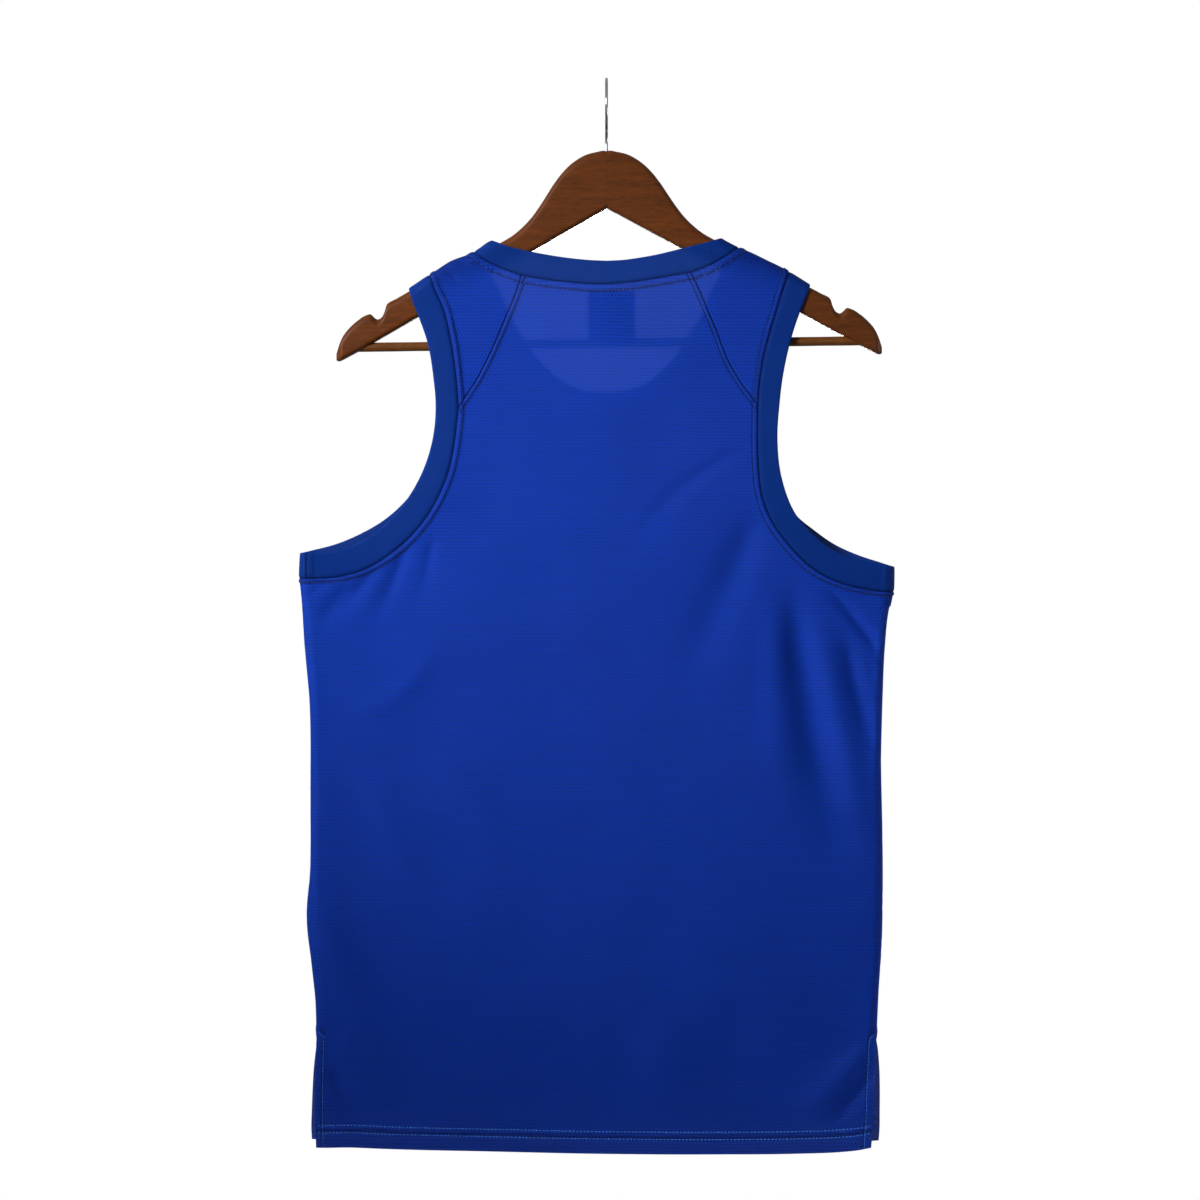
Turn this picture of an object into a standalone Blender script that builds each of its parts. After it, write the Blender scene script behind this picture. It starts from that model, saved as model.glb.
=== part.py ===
"""A sleeveless knitted training top hung, back to the viewer, on a flat wooden hanger.

The hanger has two glued arms, a round trouser bar and a bent wire hook. The tables are in
millimetres and the meshes in metres, +Z up. The origin is the inside top of the hook. The cloth's
back faces -Y and +X is to the viewer's right.
"""

import math

import bpy
import numpy as np

MM = 0.001

# Walls and gaps, mm
PANEL_WALL = 1.0
BAND_WALL = 2.0
LABEL_WALL = 0.6
SEAM_GAP = 0.3
CORNER_GAP = 0.6
CORNER_REACH = 9.0
LABEL_GAP = 0.4

# How deep the hung cloth stands off the hanger's middle plane, mm
WRAP_RADIUS = 7.4
RIDGE_LIFT = 1.4
RIDGE_COS = 0.89
BELLY_BACK = 5.0
BELLY_FRONT = 7.0
BELLY_REACH = 150.0
BELLY_DROP = 260.0
LEAST_DEPTH = 5.5
WRAP_ANGLES = (0.0, 22.5, 45.0, 67.5, 90.0)

# Hanger, mm
HANGER_CENTRE = (0.0, -55.8)
HANGER_TILT = math.radians(0.75)
ARM_THICK = 12.0
ARM_TOP_ROUND = 5.9
ARM_UNDER_ROUND = 3.5
GLUE_GAP = 0.3
BAR_RADIUS = 3.75
BAR_HALF = 209.0
BAR_DROP = -157.5
BAR_FIT = 0.3
BAR_SIDES = 20
WIRE_RADIUS = 1.8
HOOK_INNER_RADIUS = 20.0
HOOK_START = 250.0
HOOK_END = -15.0
SHANK_DEPTH = 18.0
SHANK_FIT = 0.4
WIRE_SIDES = 12

# One arm of the hanger from the glue line to the tip: distance out, top edge, bottom edge
ARM_ROWS = (
    (GLUE_GAP / 2, -0.8, -47.6),
    (9.0, -1.7, -52.6),
    (17.0, -3.8, -57.1),
    (24.5, -7.8, -61.3),
    (31.0, -12.8, -64.9),
    (37.0, -19.0, -68.3),
    (43.5, -27.5, -71.9),
    (50.0, -37.5, -75.5),
    (56.0, -46.5, -78.9),
    (62.0, -54.5, -82.2),
    (69.0, -61.8, -86.1),
    (77.0, -68.4, -90.6),
    (86.0, -73.8, -95.6),
    (97.0, -79.2, -101.8),
    (112.0, -85.8, -110.1),
    (128.0, -93.0, -119.1),
    (145.0, -102.2, -128.6),
    (163.7, -113.8, -139.0),
    (173.0, -119.0, -144.2),
    (180.5, -123.5, -148.4),
    (182.5, -129.5, -149.5),
    (184.8, -133.8, -150.8),
    (188.2, -135.6, -152.7),
    (191.3, -133.6, -154.4),
    (193.6, -131.3, -155.7),
    (198.0, -132.2, -158.2),
    (204.5, -136.3, -161.8),
    (211.0, -142.0, -165.2),
    (216.5, -148.8, -168.0),
    (220.0, -156.5, -169.4),
    (222.0, -163.0, -168.6),
)
# Where the cloth's ridge would run over the arms: distance out, height above the hanger's centre
RIDGE_ROWS = ((0.0, -24.0), (40.0, -47.0), (77.0, -67.5), (86.0, -73.3))

# Seams and edges of the back, x and z. Each left one runs the same way as its right one.
BACK_DIAGONAL = {
    -1: ((-69.1, -158.4), (-72.2, -169.0), (-81.5, -192.5), (-93.2, -219.5), (-103.3, -239.9), (-120.1, -265.9)),
    1: ((69.1, -156.0), (79.8, -180.0), (89.8, -204.0), (100.6, -230.9), (110.5, -247.0), (125.8, -264.3)),
}
SHOULDER_ARM_SEAM = {
    -1: ((-143.7, -156.8), (-139.1, -170.7), (-133.1, -182.5), (-125.8, -213.8), (-122.0, -237.4), (-120.1, -265.9)),
    1: ((147.4, -156.6), (140.5, -178.8), (133.5, -200.5), (126.9, -230.9), (125.8, -264.3)),
}
BODY_ARM_SEAM = {
    -1: (
        (-120.1, -265.9),
        (-122.6, -283.8),
        (-125.8, -314.0),
        (-133.1, -331.9),
        (-146.2, -353.9),
        (-166.5, -374.2),
        (-191.1, -392.5),
        (-216.2, -401.9),
        (-249.6, -405.2),
    ),
    1: (
        (125.8, -264.3),
        (125.4, -292.0),
        (125.8, -324.6),
        (130.7, -345.7),
        (139.7, -362.0),
        (154.3, -379.1),
        (172.2, -395.4),
        (191.8, -405.6),
        (233.3, -414.1),
    ),
}
SIDE_SEAM = {
    -1: (
        (-249.6, -405.2),
        (-248.0, -422.3),
        (-245.5, -458.9),
        (-241.4, -503.7),
        (-240.6, -585.0),
        (-241.0, -640.0),
        (-244.7, -682.9),
        (-241.4, -715.0),
        (-237.4, -748.0),
        (-235.7, -775.7),
    ),
    1: (
        (233.3, -414.1),
        (230.0, -426.4),
        (226.0, -463.0),
        (224.3, -503.7),
        (222.9, -552.6),
        (223.5, -609.6),
        (223.5, -666.6),
        (222.7, -703.2),
        (220.3, -739.9),
        (219.5, -777.3),
    ),
}
BACK_VENT = {
    -1: ((-235.7, -775.7), (-236.6, -813.1), (-236.6, -845.7), (-236.1, -867.7)),
    1: ((219.5, -777.3), (217.8, -813.1), (216.6, -845.7), (215.0, -867.7)),
}
FRONT_VENT = {
    -1: ((-235.7, -775.7), (-239.0, -796.9), (-240.6, -845.7), (-239.8, -863.6)),
    1: ((219.5, -777.3), (223.1, -792.8), (223.5, -841.6), (221.1, -864.4)),
}
BACK_HEM = (
    (-236.1, -867.7),
    (-181.2, -870.1),
    (-99.8, -871.8),
    (-5.3, -873.8),
    (90.0, -874.2),
    (157.6, -873.4),
    (196.7, -871.8),
    (215.0, -867.7),
)
FRONT_HEM = ((-239.8, -863.6), (-120.0, -867.0), (0.0, -869.0), (120.0, -868.5), (221.1, -864.4))
BACK_NECK_SEAM = (
    (-107.7, -138.8),
    (-96.7, -147.5),
    (-83.6, -153.2),
    (-69.1, -158.4),
    (-54.2, -161.2),
    (-33.2, -163.7),
    (-9.9, -165.6),
    (11.0, -164.9),
    (43.6, -160.5),
    (69.1, -156.0),
    (86.7, -149.0),
    (107.7, -138.8),
)
BACK_NECK_EDGE = (
    (-92.6, -132.0),
    (-85.9, -133.4),
    (-63.1, -138.9),
    (-22.4, -145.3),
    (1.6, -146.7),
    (37.9, -142.2),
    (68.0, -134.9),
    (92.6, -129.0),
)
# The front neckline from the right shoulder to the middle: band's seam and open edge
FRONT_NECK_SEAM = (
    (107.7, -138.8),
    (110.0, -158.0),
    (104.5, -176.0),
    (94.0, -200.0),
    (82.5, -221.0),
    (70.5, -236.5),
    (53.5, -252.5),
    (34.0, -264.5),
    (15.0, -270.5),
    (0.0, -272.0),
)
FRONT_NECK_EDGE = (
    (92.6, -129.0),
    (93.5, -144.0),
    (92.0, -158.5),
    (85.9, -170.0),
    (76.1, -192.6),
    (66.4, -208.9),
    (56.6, -223.6),
    (43.6, -237.4),
    (27.3, -248.8),
    (11.0, -252.6),
    (0.0, -253.2),
)
# Where the front's diagonal seams leave the neck seam, as a share of its length from the shoulder
FRONT_DIAGONAL_TOP = 0.21
FRONT_DIAGONAL_BEND = 5.0
# Open edge of each armhole band from the shoulder to the underarm
BAND_EDGE = {
    -1: (
        (-160.8, -169.0),
        (-157.6, -180.0),
        (-151.9, -194.3),
        (-146.2, -210.6),
        (-140.5, -243.1),
        (-138.8, -263.5),
        (-141.3, -292.0),
        (-153.7, -328.3),
        (-172.4, -355.1),
        (-191.1, -371.3),
        (-214.0, -381.0),
        (-248.8, -386.8),
    ),
    1: (
        (165.7, -167.1),
        (161.0, -179.0),
        (154.3, -196.3),
        (147.8, -218.7),
        (142.9, -243.1),
        (140.5, -263.5),
        (139.2, -292.0),
        (143.3, -324.6),
        (155.9, -354.4),
        (178.3, -378.1),
        (194.2, -386.9),
        (233.7, -395.4),
    ),
}
FRONT_ARM_RISE = 7.0

# Broad folds: x and z of both ends, half width, height out (ridge) or in (trough)
BACK_FOLDS = (
    (116.0, -332.0, 20.0, -490.0, 20.0, -2.5),
    (146.0, -395.0, 178.0, -660.0, 15.0, -3.0),
    (158.0, -410.0, 215.0, -600.0, 16.0, 4.0),
    (-171.0, -392.0, -206.0, -452.0, 14.0, -2.5),
    (-182.0, -560.0, -95.0, -690.0, 22.0, 3.0),
    (-236.0, -800.0, -150.0, -850.0, 16.0, -2.5),
    (100.0, -725.0, 25.0, -846.0, 20.0, 3.0),
    (212.0, -790.0, 140.0, -850.0, 14.0, -2.5),
)
FRONT_FOLDS = (
    (-120.0, -330.0, -30.0, -500.0, 20.0, -3.0),
    (-150.0, -400.0, -180.0, -650.0, 16.0, -3.0),
    (160.0, -410.0, 205.0, -560.0, 15.0, -3.0),
    (90.0, -600.0, 130.0, -760.0, 22.0, 3.0),
    (-60.0, -700.0, -90.0, -850.0, 20.0, 3.0),
)

# How finely each piece is cut up
SIDE_COLUMNS = (0.0, 0.003, 0.009, 0.018, 0.045)
MIDDLE_COLUMNS = 15
DIAGONAL_ROWS = 7
ARM_ROW_SHARES = (0.0, 0.1, 0.2, 0.3, 0.4, 0.5, 0.6, 0.7, 0.8, 0.88, 0.94, 0.975, 0.99, 1.0)
SIDE_ROWS = 14
VENT_ROWS = 4
SHOULDER_ROWS_BELOW = 6
SHOULDER_COLUMNS = DIAGONAL_ROWS
BAND_COLUMNS = 3
LABEL_BOX = (-14.7, 23.2, -214.6, -171.5)
LABEL_CELLS = 3

# Colours (linear), roughness, metallic
CLOTH_BLUE = ((0.010, 0.040, 0.310), 0.85, 0.0)
BAND_BLUE = ((0.006, 0.030, 0.215), 0.75, 0.0)
LABEL_NAVY = ((0.006, 0.012, 0.060), 0.6, 0.0)
WOOD_BROWN = ((0.120, 0.045, 0.024), 0.35, 0.0)
BAR_BROWN = ((0.250, 0.140, 0.060), 0.45, 0.0)
WIRE_CHROME = ((0.600, 0.600, 0.620), 0.15, 1.0)


def path(rows):
    """Return a function from shares of the length, 0 to 1, to points on a smooth line through rows."""
    rows = np.asarray(rows, dtype=float)
    steps = np.linalg.norm(np.diff(rows, axis=0), axis=1)
    along = np.concatenate(([0.0], np.cumsum(steps)))
    slopes = np.gradient(rows, along, axis=0)

    def at(shares):
        distance = np.clip(np.asarray(shares, dtype=float), 0.0, 1.0) * along[-1]
        piece = np.clip(np.searchsorted(along, distance, side="right") - 1, 0, len(steps) - 1)
        step = steps[piece][:, None]
        t = (distance - along[piece])[:, None] / step
        near = (2 * t**3 - 3 * t**2 + 1) * rows[piece] + (t**3 - 2 * t**2 + t) * step * slopes[piece]
        far = (3 * t**2 - 2 * t**3) * rows[piece + 1] + (t**3 - t**2) * step * slopes[piece + 1]
        return near + far

    return at


def smooth(value):
    """Ease from 0 to 1 as value goes from 0 to 1."""
    value = np.clip(value, 0.0, 1.0)
    return value * value * (3.0 - 2.0 * value)


def tilt(x, z):
    """Turn points of the plumb hanger to how it hangs, left arm a little lower."""
    cos, sin = math.cos(HANGER_TILT), math.sin(HANGER_TILT)
    return HANGER_CENTRE[0] + x * cos - z * sin, HANGER_CENTRE[1] + x * sin + z * cos


def ridge_line():
    """Return x and z of the line that the cloth's middle follows over both arms."""
    arm = [(out, top) for out, top, _ in ARM_ROWS if RIDGE_ROWS[-1][0] < out < BAR_HALF]
    half = np.array(RIDGE_ROWS + tuple(arm))
    both = np.concatenate((half[::-1] * (-1, 1), half[1:]))
    x, z = tilt(both[:, 0], both[:, 1])
    return x, z + RIDGE_LIFT


RIDGE_X, RIDGE_Z = ridge_line()


def drop_below_ridge(xz):
    """Return how far points lie below the cloth's ridge, square to the arm."""
    return (np.interp(xz[..., 0], RIDGE_X, RIDGE_Z) - xz[..., 1]) * RIDGE_COS


def distance_to_line(xz, line):
    """Return the distance from each point to a line of straight pieces."""
    nearest = np.full(xz.shape[:-1], np.inf)
    for start, end in zip(line[:-1], line[1:]):
        span = end - start
        share = np.clip(((xz - start) @ span) / (span @ span), 0.0, 1.0)
        nearest = np.minimum(nearest, np.linalg.norm(xz - start - share[..., None] * span, axis=-1))
    return nearest


def joined_sides(xz):
    """Return the distance to the nearer side seam, where back and front meet."""
    sides = []
    for side in (-1, 1):
        line = np.array((BAND_EDGE[side][-1],) + SIDE_SEAM[side])
        sides.append(distance_to_line(xz, line))
    return np.minimum(*sides)


def folds(xz, rows):
    """Add up the broad folds: each a soft bump across its line that dies out at both ends."""
    total = np.zeros(xz.shape[:-1])
    for x0, z0, x1, z1, width, height in rows:
        start, end = np.array((x0, z0)), np.array((x1, z1))
        span = end - start
        share = ((xz - start) @ span) / (span @ span)
        off = np.linalg.norm(xz - start - share[..., None] * span, axis=-1)
        ends = smooth(share / 0.25 + 0.5) * smooth((1.0 - share) / 0.25 + 0.5)
        total += height * ends * np.exp(-((off / width) ** 2))
    return total


def depth(xz, face):
    """Return how far the cloth's middle stands from the hanger's plane. face is -1 back, 1 front.

    It goes round the arm in a quarter circle, hangs down a little further out, and comes back to
    nothing in another quarter circle at the side seams.
    """
    drop = drop_below_ridge(xz)
    side = joined_sides(xz)
    wrap = WRAP_RADIUS * np.sqrt(1.0 - (1.0 - np.clip(drop / WRAP_RADIUS, 0.0, 1.0)) ** 2)
    tuck = np.sqrt(1.0 - (1.0 - np.clip(side / WRAP_RADIUS, 0.0, 1.0)) ** 2)
    belly = BELLY_BACK if face < 0 else BELLY_FRONT
    rows = BACK_FOLDS if face < 0 else FRONT_FOLDS
    loose = smooth(drop / BELLY_DROP)
    fullness = belly * smooth(side / BELLY_REACH) * loose
    creases = folds(xz, rows) * smooth(side / 25.0) * loose
    low = np.minimum(wrap, LEAST_DEPTH)
    return np.maximum(wrap + fullness + creases, low) * tuck


def place(xz, face):
    """Return 3-D points for x and z on the back or the front."""
    return np.stack((xz[..., 0], face * depth(xz, face), xz[..., 1]), axis=-1)


def surface_normals(grid, ring=False):
    """Return unit normals of a grid of points. ring says that the rows close on themselves."""
    if ring:
        down = np.roll(grid, -1, axis=0) - np.roll(grid, 1, axis=0)
    else:
        down = np.gradient(grid, axis=0)
    normal = np.cross(down, np.gradient(grid, axis=1))
    return normal / np.maximum(np.linalg.norm(normal, axis=-1, keepdims=True), 1e-9)


def draw_in(grid, normal, sides, ring=False):
    """Move the named edges of a grid in by half a seam gap, square to the edge.

    An edge is "first_row", "last_row", "first_column" or "last_column".
    """
    moved = grid.copy()
    for side in sides:
        row_edge = side.endswith("row")
        edge = (0 if side.startswith("first") else -1, slice(None))
        inner = (1 if side.startswith("first") else -2, slice(None))
        if not row_edge:
            edge, inner = edge[::-1], inner[::-1]
        line = grid[edge]
        if ring:
            along = np.roll(line, -1, axis=0) - np.roll(line, 1, axis=0)
        else:
            along = np.gradient(line, axis=0)
        inwards = np.cross(normal[edge], along)
        inwards /= np.maximum(np.linalg.norm(inwards, axis=-1, keepdims=True), 1e-9)
        turned = np.sign(np.sum(inwards * (grid[inner] - line), axis=-1, keepdims=True))
        moved[edge] += inwards * turned * seam_gap(line)[:, None] / 2
    return moved


def seam_gap(line):
    """Return the gap to leave at points of a seam: a little wider where seams meet at a side."""
    ends = [SIDE_SEAM[side][end] for side in (-1, 1) for end in (0, -1)]
    nearest = np.min([np.linalg.norm(line[:, ::2] - end, axis=1) for end in ends], axis=0)
    return SEAM_GAP + CORNER_GAP * np.exp(-((nearest / CORNER_REACH) ** 2))


def grid_faces(rows, columns, start, ring):
    """Return the quads of one skin of a grid."""
    last = rows if ring else rows - 1
    at = start + np.arange(rows * columns).reshape(rows, columns)
    faces = []
    for i in range(last):
        j = (i + 1) % rows
        for k in range(columns - 1):
            faces.append((int(at[i, k]), int(at[i, k + 1]), int(at[j, k + 1]), int(at[j, k])))
    return faces


def rim_faces(rows, columns, ring):
    """Return the quads that join the two skins round the free edges."""
    skin = rows * columns
    at = np.arange(skin).reshape(rows, columns)
    loops = [np.append(at[:, 0], at[0, 0]), np.append(at[:, -1], at[0, -1])]
    if not ring:
        loops = [np.concatenate((at[0, :], at[1:, -1], at[-1, -2::-1], at[-2::-1, 0]))]
    faces = []
    for loop in loops:
        for a, b in zip(loop[:-1], loop[1:]):
            faces.append((int(a), int(b), int(b + skin), int(a + skin)))
    return faces


def new_material(name, look):
    """Return a new plain material."""
    colour, roughness, metallic = look
    material = bpy.data.materials.new(name)
    material.use_nodes = True
    shader = material.node_tree.nodes["Principled BSDF"]
    shader.inputs["Base Color"].default_value = (*colour, 1.0)
    shader.inputs["Roughness"].default_value = roughness
    shader.inputs["Metallic"].default_value = metallic
    material.diffuse_color = (*colour, 1.0)
    return material


def new_object(name, points, faces, look, flat=False):
    """Make a mesh object from points in mm, with its faces turned outwards."""
    mesh = bpy.data.meshes.new(name)
    mesh.from_pydata((np.asarray(points) * MM).tolist(), [], faces)
    mesh.validate()
    turn_outwards(mesh)
    if not flat:
        mesh.shade_smooth()
        mesh.set_sharp_from_angle(angle=math.radians(40.0))
    thing = bpy.data.objects.new(name, mesh)
    bpy.context.scene.collection.objects.link(thing)
    thing.data.materials.append(new_material(name, look))
    return thing


def turn_outwards(mesh):
    """Flip all faces of a closed mesh if its volume comes out negative."""
    points = np.empty(len(mesh.vertices) * 3)
    mesh.vertices.foreach_get("co", points)
    points = points.reshape(-1, 3)
    mesh.calc_loop_triangles()
    corners = np.empty(len(mesh.loop_triangles) * 3, dtype=np.int32)
    mesh.loop_triangles.foreach_get("vertices", corners)
    a, b, c = points[corners.reshape(-1, 3)].transpose(1, 0, 2)
    if np.sum(a * np.cross(b, c)) < 0:
        mesh.flip_normals()


def sheet(name, grid, wall, look, seams=(), ring=False):
    """Make one piece of cloth: two skins either side of the grid, closed round its edges."""
    normal = surface_normals(grid, ring)
    middle = draw_in(grid, normal, seams, ring)
    rows, columns = grid.shape[:2]
    skin = rows * columns
    points = np.concatenate(
        ((middle + normal * wall / 2).reshape(-1, 3), (middle - normal * wall / 2).reshape(-1, 3))
    )
    outer = grid_faces(rows, columns, 0, ring)
    inner = [face[::-1] for face in grid_faces(rows, columns, skin, ring)]
    faces = outer + inner + consistent_rim(rows, columns, ring)
    return new_object(name, points, faces, look)


def consistent_rim(rows, columns, ring):
    """Return rim quads wound to agree with the skins."""
    faces = rim_faces(rows, columns, ring)
    if ring:
        count = len(faces) // 2
        return faces[:count] + [face[::-1] for face in faces[count:]]
    return [face[::-1] for face in faces]


def column_shares():
    """Return where a panel's columns stand across it: close together at the sides."""
    edge = np.array(SIDE_COLUMNS)
    middle = np.linspace(edge[-1], 1.0 - edge[-1], MIDDLE_COLUMNS)
    return np.concatenate((edge[:-1], middle, 1.0 - edge[-2::-1]))


def front_arm_seam(side):
    """Return the front's armhole seam: the back's, a little higher along the curve."""
    rows = np.array(BODY_ARM_SEAM[side])
    share = np.linspace(0.0, 1.0, len(rows))
    rows[:, 1] += FRONT_ARM_RISE * np.sin(math.pi * share) ** 2
    return rows


def front_diagonal(side):
    """Return the front's diagonal seam, from the neck seam down to the armhole seam."""
    start = path(FRONT_NECK_SEAM)([FRONT_DIAGONAL_TOP])[0] * (side, 1)
    end = np.array(BODY_ARM_SEAM[side][0])
    middle = (start + end) / 2 + (side * -FRONT_DIAGONAL_BEND, 0)
    return np.array((start, middle, end))


def panel_side(side, face):
    """Return the points down one side of the back or front panel, top to hem."""
    diagonal = BACK_DIAGONAL[side] if face < 0 else front_diagonal(side)
    arm = BODY_ARM_SEAM[side] if face < 0 else front_arm_seam(side)
    vent = BACK_VENT[side] if face < 0 else FRONT_VENT[side]
    parts = (
        path(diagonal)(np.linspace(0, 1, DIAGONAL_ROWS)),
        path(arm)(ARM_ROW_SHARES)[1:],
        path(SIDE_SEAM[side])(np.concatenate(([0.01, 0.03], np.linspace(0.07, 1, SIDE_ROWS)))),
        path(vent)(np.linspace(0, 1, VENT_ROWS))[1:],
    )
    return np.concatenate(parts)


def panel_top(face, shares):
    """Return the points along the neck seam of the back or front panel, left to right."""
    if face < 0:
        rows = [row for row in BACK_NECK_SEAM if abs(row[0]) < 70]
        return path(rows)(shares)
    right = path(FRONT_NECK_SEAM)(np.linspace(FRONT_DIAGONAL_TOP, 1, 12))
    left = right * (-1, 1)
    return path(np.concatenate((left, right[-2::-1])))(shares)


def panel_grid(face):
    """Return x and z over the back or front panel.

    Each row runs straight from side to side. The neck's curve is added at the top and the hem's at
    the bottom, both fading towards the middle.
    """
    shares = column_shares()
    left, right = panel_side(-1, face), panel_side(1, face)
    top = panel_top(face, shares)
    hem = path(BACK_HEM if face < 0 else FRONT_HEM)(shares)
    left[0], right[0], left[-1], right[-1] = top[0], top[-1], hem[0], hem[-1]
    across = shares[None, :, None]
    grid = left[:, None, :] * (1 - across) + right[:, None, :] * across
    down = np.linspace(0, 1, len(left))[:, None, None]
    grid = grid + (top - grid[0]) * (1 - down) ** 2 + (hem - grid[-1]) * down**4
    return grid


def shares_at_drops(line, drops):
    """Return where along a line it has fallen by each drop below the ridge."""
    shares = np.linspace(0, 1, 400)
    fallen = np.maximum.accumulate(drop_below_ridge(line(shares)))
    return np.interp(drops, fallen, shares)


def wrap_shares(line, below):
    """Return shares down a line that starts on the ridge: close together while it goes round the arm."""
    drops = [WRAP_RADIUS * (1 - math.cos(math.radians(angle))) for angle in WRAP_ANGLES]
    shares = shares_at_drops(line, drops)
    shares[0] = 0.0
    return np.concatenate((shares, np.linspace(shares[-1], 1.0, below + 1)[1:]))


def shoulder_neck_line(side, face):
    """Return the neck edge of a shoulder panel on one face, from the ridge down."""
    if face > 0:
        rows = path(FRONT_NECK_SEAM)(np.linspace(0, FRONT_DIAGONAL_TOP, 5)) * (side, 1)
        return path(on_ridge(rows))
    rows = [row for row in BACK_NECK_SEAM if row[0] * side > 69]
    return path(on_ridge(rows[:: -side]))


def on_ridge(rows):
    """Return rows with the first one moved onto the ridge line."""
    rows = np.array(rows, dtype=float)
    rows[0, 1] = np.interp(rows[0, 0], RIDGE_X, RIDGE_Z)
    return rows


def shoulder_half(side, face):
    """Return x and z of a shoulder panel on one face, rows from the ridge down to the diagonal seam."""
    neck = shoulder_neck_line(side, face)
    arm = path(on_ridge(SHOULDER_ARM_SEAM[side]))
    neck_points = neck(wrap_shares(neck, SHOULDER_ROWS_BELOW))
    arm_points = arm(wrap_shares(arm, SHOULDER_ROWS_BELOW))
    across = np.linspace(0, 1, SHOULDER_COLUMNS)
    diagonal = BACK_DIAGONAL[side] if face < 0 else front_diagonal(side)
    low = path(diagonal)(np.linspace(0, 1, DIAGONAL_ROWS))
    low = path(low)(across)
    neck_points[-1], arm_points[-1] = low[0], low[-1]
    grid = neck_points[:, None] * (1 - across[None, :, None]) + arm_points[:, None] * across[None, :, None]
    down = np.linspace(0, 1, len(neck_points))[:, None, None]
    grid = grid + (low - grid[-1]) * down
    grid[0, :, 1] = np.interp(grid[0, :, 0], RIDGE_X, RIDGE_Z)
    return grid


def make_panels():
    """Make the back and front panels."""
    edges = {}
    for face, name in ((-1, "back_panel"), (1, "front_panel")):
        flat = panel_grid(face)
        seams = ("first_row", "first_column", "last_column")
        sheet(name, place(flat, face), PANEL_WALL, CLOTH_BLUE, seams)
        edges[face] = flat
    return edges


def make_shoulders():
    """Make the two shoulder panels, each one sheet that goes over the arm."""
    edges = {}
    for side, name in ((-1, "shoulder_panel_left"), (1, "shoulder_panel_right")):
        back, front = shoulder_half(side, -1), shoulder_half(side, 1)
        grid = np.concatenate((place(back, -1)[::-1], place(front, 1)[1:]))
        seams = ("first_row", "last_row", "first_column", "last_column")
        sheet(name, grid, PANEL_WALL, CLOTH_BLUE, seams)
        edges[side] = (back, front)
    return edges


def band_half(seam, edge_rows, face):
    """Return 3-D points of half a band, from the ridge on: rows along it, columns from seam to edge."""
    steps = np.linalg.norm(np.diff(seam, axis=0), axis=1)
    along = np.concatenate(([0.0], np.cumsum(steps)))
    wrapped = len(WRAP_ANGLES)
    edge = path(on_ridge(edge_rows))
    start = wrap_shares(edge, 1)[:wrapped]
    left = (along[wrapped - 1 :] - along[wrapped - 1]) / (along[-1] - along[wrapped - 1])
    shares = np.concatenate((start, start[-1] + (1 - start[-1]) * left[1:]))
    outer = edge(shares)
    across = np.linspace(0, 1, BAND_COLUMNS)[None, :, None]
    flat = seam[:, None] * (1 - across) + outer[:, None] * across
    flat[0, :, 1] = np.interp(flat[0, :, 0], RIDGE_X, RIDGE_Z)
    return place(flat, face)


def make_arm_band(side, name, panels, shoulders):
    """Make the ribbed band round one armhole, a closed ring over the shoulder and under the arm."""
    halves = {}
    column = 0 if side < 0 else -1
    last = DIAGONAL_ROWS + len(ARM_ROW_SHARES) - 1
    for face, half in zip((-1, 1), shoulders[side]):
        seam = np.concatenate((half[:, -1], panels[face][DIAGONAL_ROWS:last, column]))
        edge = np.array(BAND_EDGE[side])
        if face > 0:
            share = np.linspace(0.0, 1.0, len(edge))
            edge[:, 1] += FRONT_ARM_RISE * np.sin(math.pi * smooth(share)) ** 4
        halves[face] = band_half(seam, edge, face)
    ring = np.concatenate((halves[-1], halves[1][-2:0:-1]))
    sheet(name, ring, BAND_WALL, BAND_BLUE, ("first_column",), ring=True)


def make_neck_band(panels, shoulders):
    """Make the band round the neck: across the back, over both shoulders and down round the front."""
    quarters = []
    for side, face in ((1, -1), (1, 1), (-1, 1), (-1, -1)):
        half = shoulders[side][0 if face < 0 else 1][:, 0]
        top = panels[face][0]
        middle = len(top) // 2
        across = top[middle:][::-1] if side > 0 else top[: middle + 1]
        seam = np.concatenate((half, across[1:]))
        if face > 0:
            edge = np.array(FRONT_NECK_EDGE) * (side, 1)
        else:
            edge = back_neck_edge(side, seam[-1])
        quarters.append(band_half(seam, edge, face))
    back_right, front_right, front_left, back_left = quarters
    ring = np.concatenate(
        (back_right[::-1], front_right[1:], front_left[-2::-1], back_left[1:-1])
    )
    sheet("neck_band", ring, BAND_WALL, BAND_BLUE, ("first_column",), ring=True)


def back_neck_edge(side, middle):
    """Return the back neck's open edge from one shoulder to the middle of the seam's points."""
    whole = path(BACK_NECK_EDGE)
    points = whole(np.linspace(0, 1, 61))
    stop = int(np.argmin(np.abs(points[:, 0] - middle[0])))
    half = points[: stop + 1] if side < 0 else points[stop:][::-1]
    return half[np.linspace(0, len(half) - 1, 8).round().astype(int)]


def make_label():
    """Make the plain label that hangs inside the back neck, its points the panel's moved in."""
    left, right, low, high = LABEL_BOX
    x, z = np.meshgrid(np.linspace(left, right, LABEL_CELLS + 1), np.linspace(high, low, LABEL_CELLS + 1))
    flat = np.stack((x, z), axis=-1)
    grid = place(flat, -1)
    grid[..., 1] += PANEL_WALL / 2 + LABEL_GAP + LABEL_WALL / 2
    sheet("neck_label", grid, LABEL_WALL, LABEL_NAVY)


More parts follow.
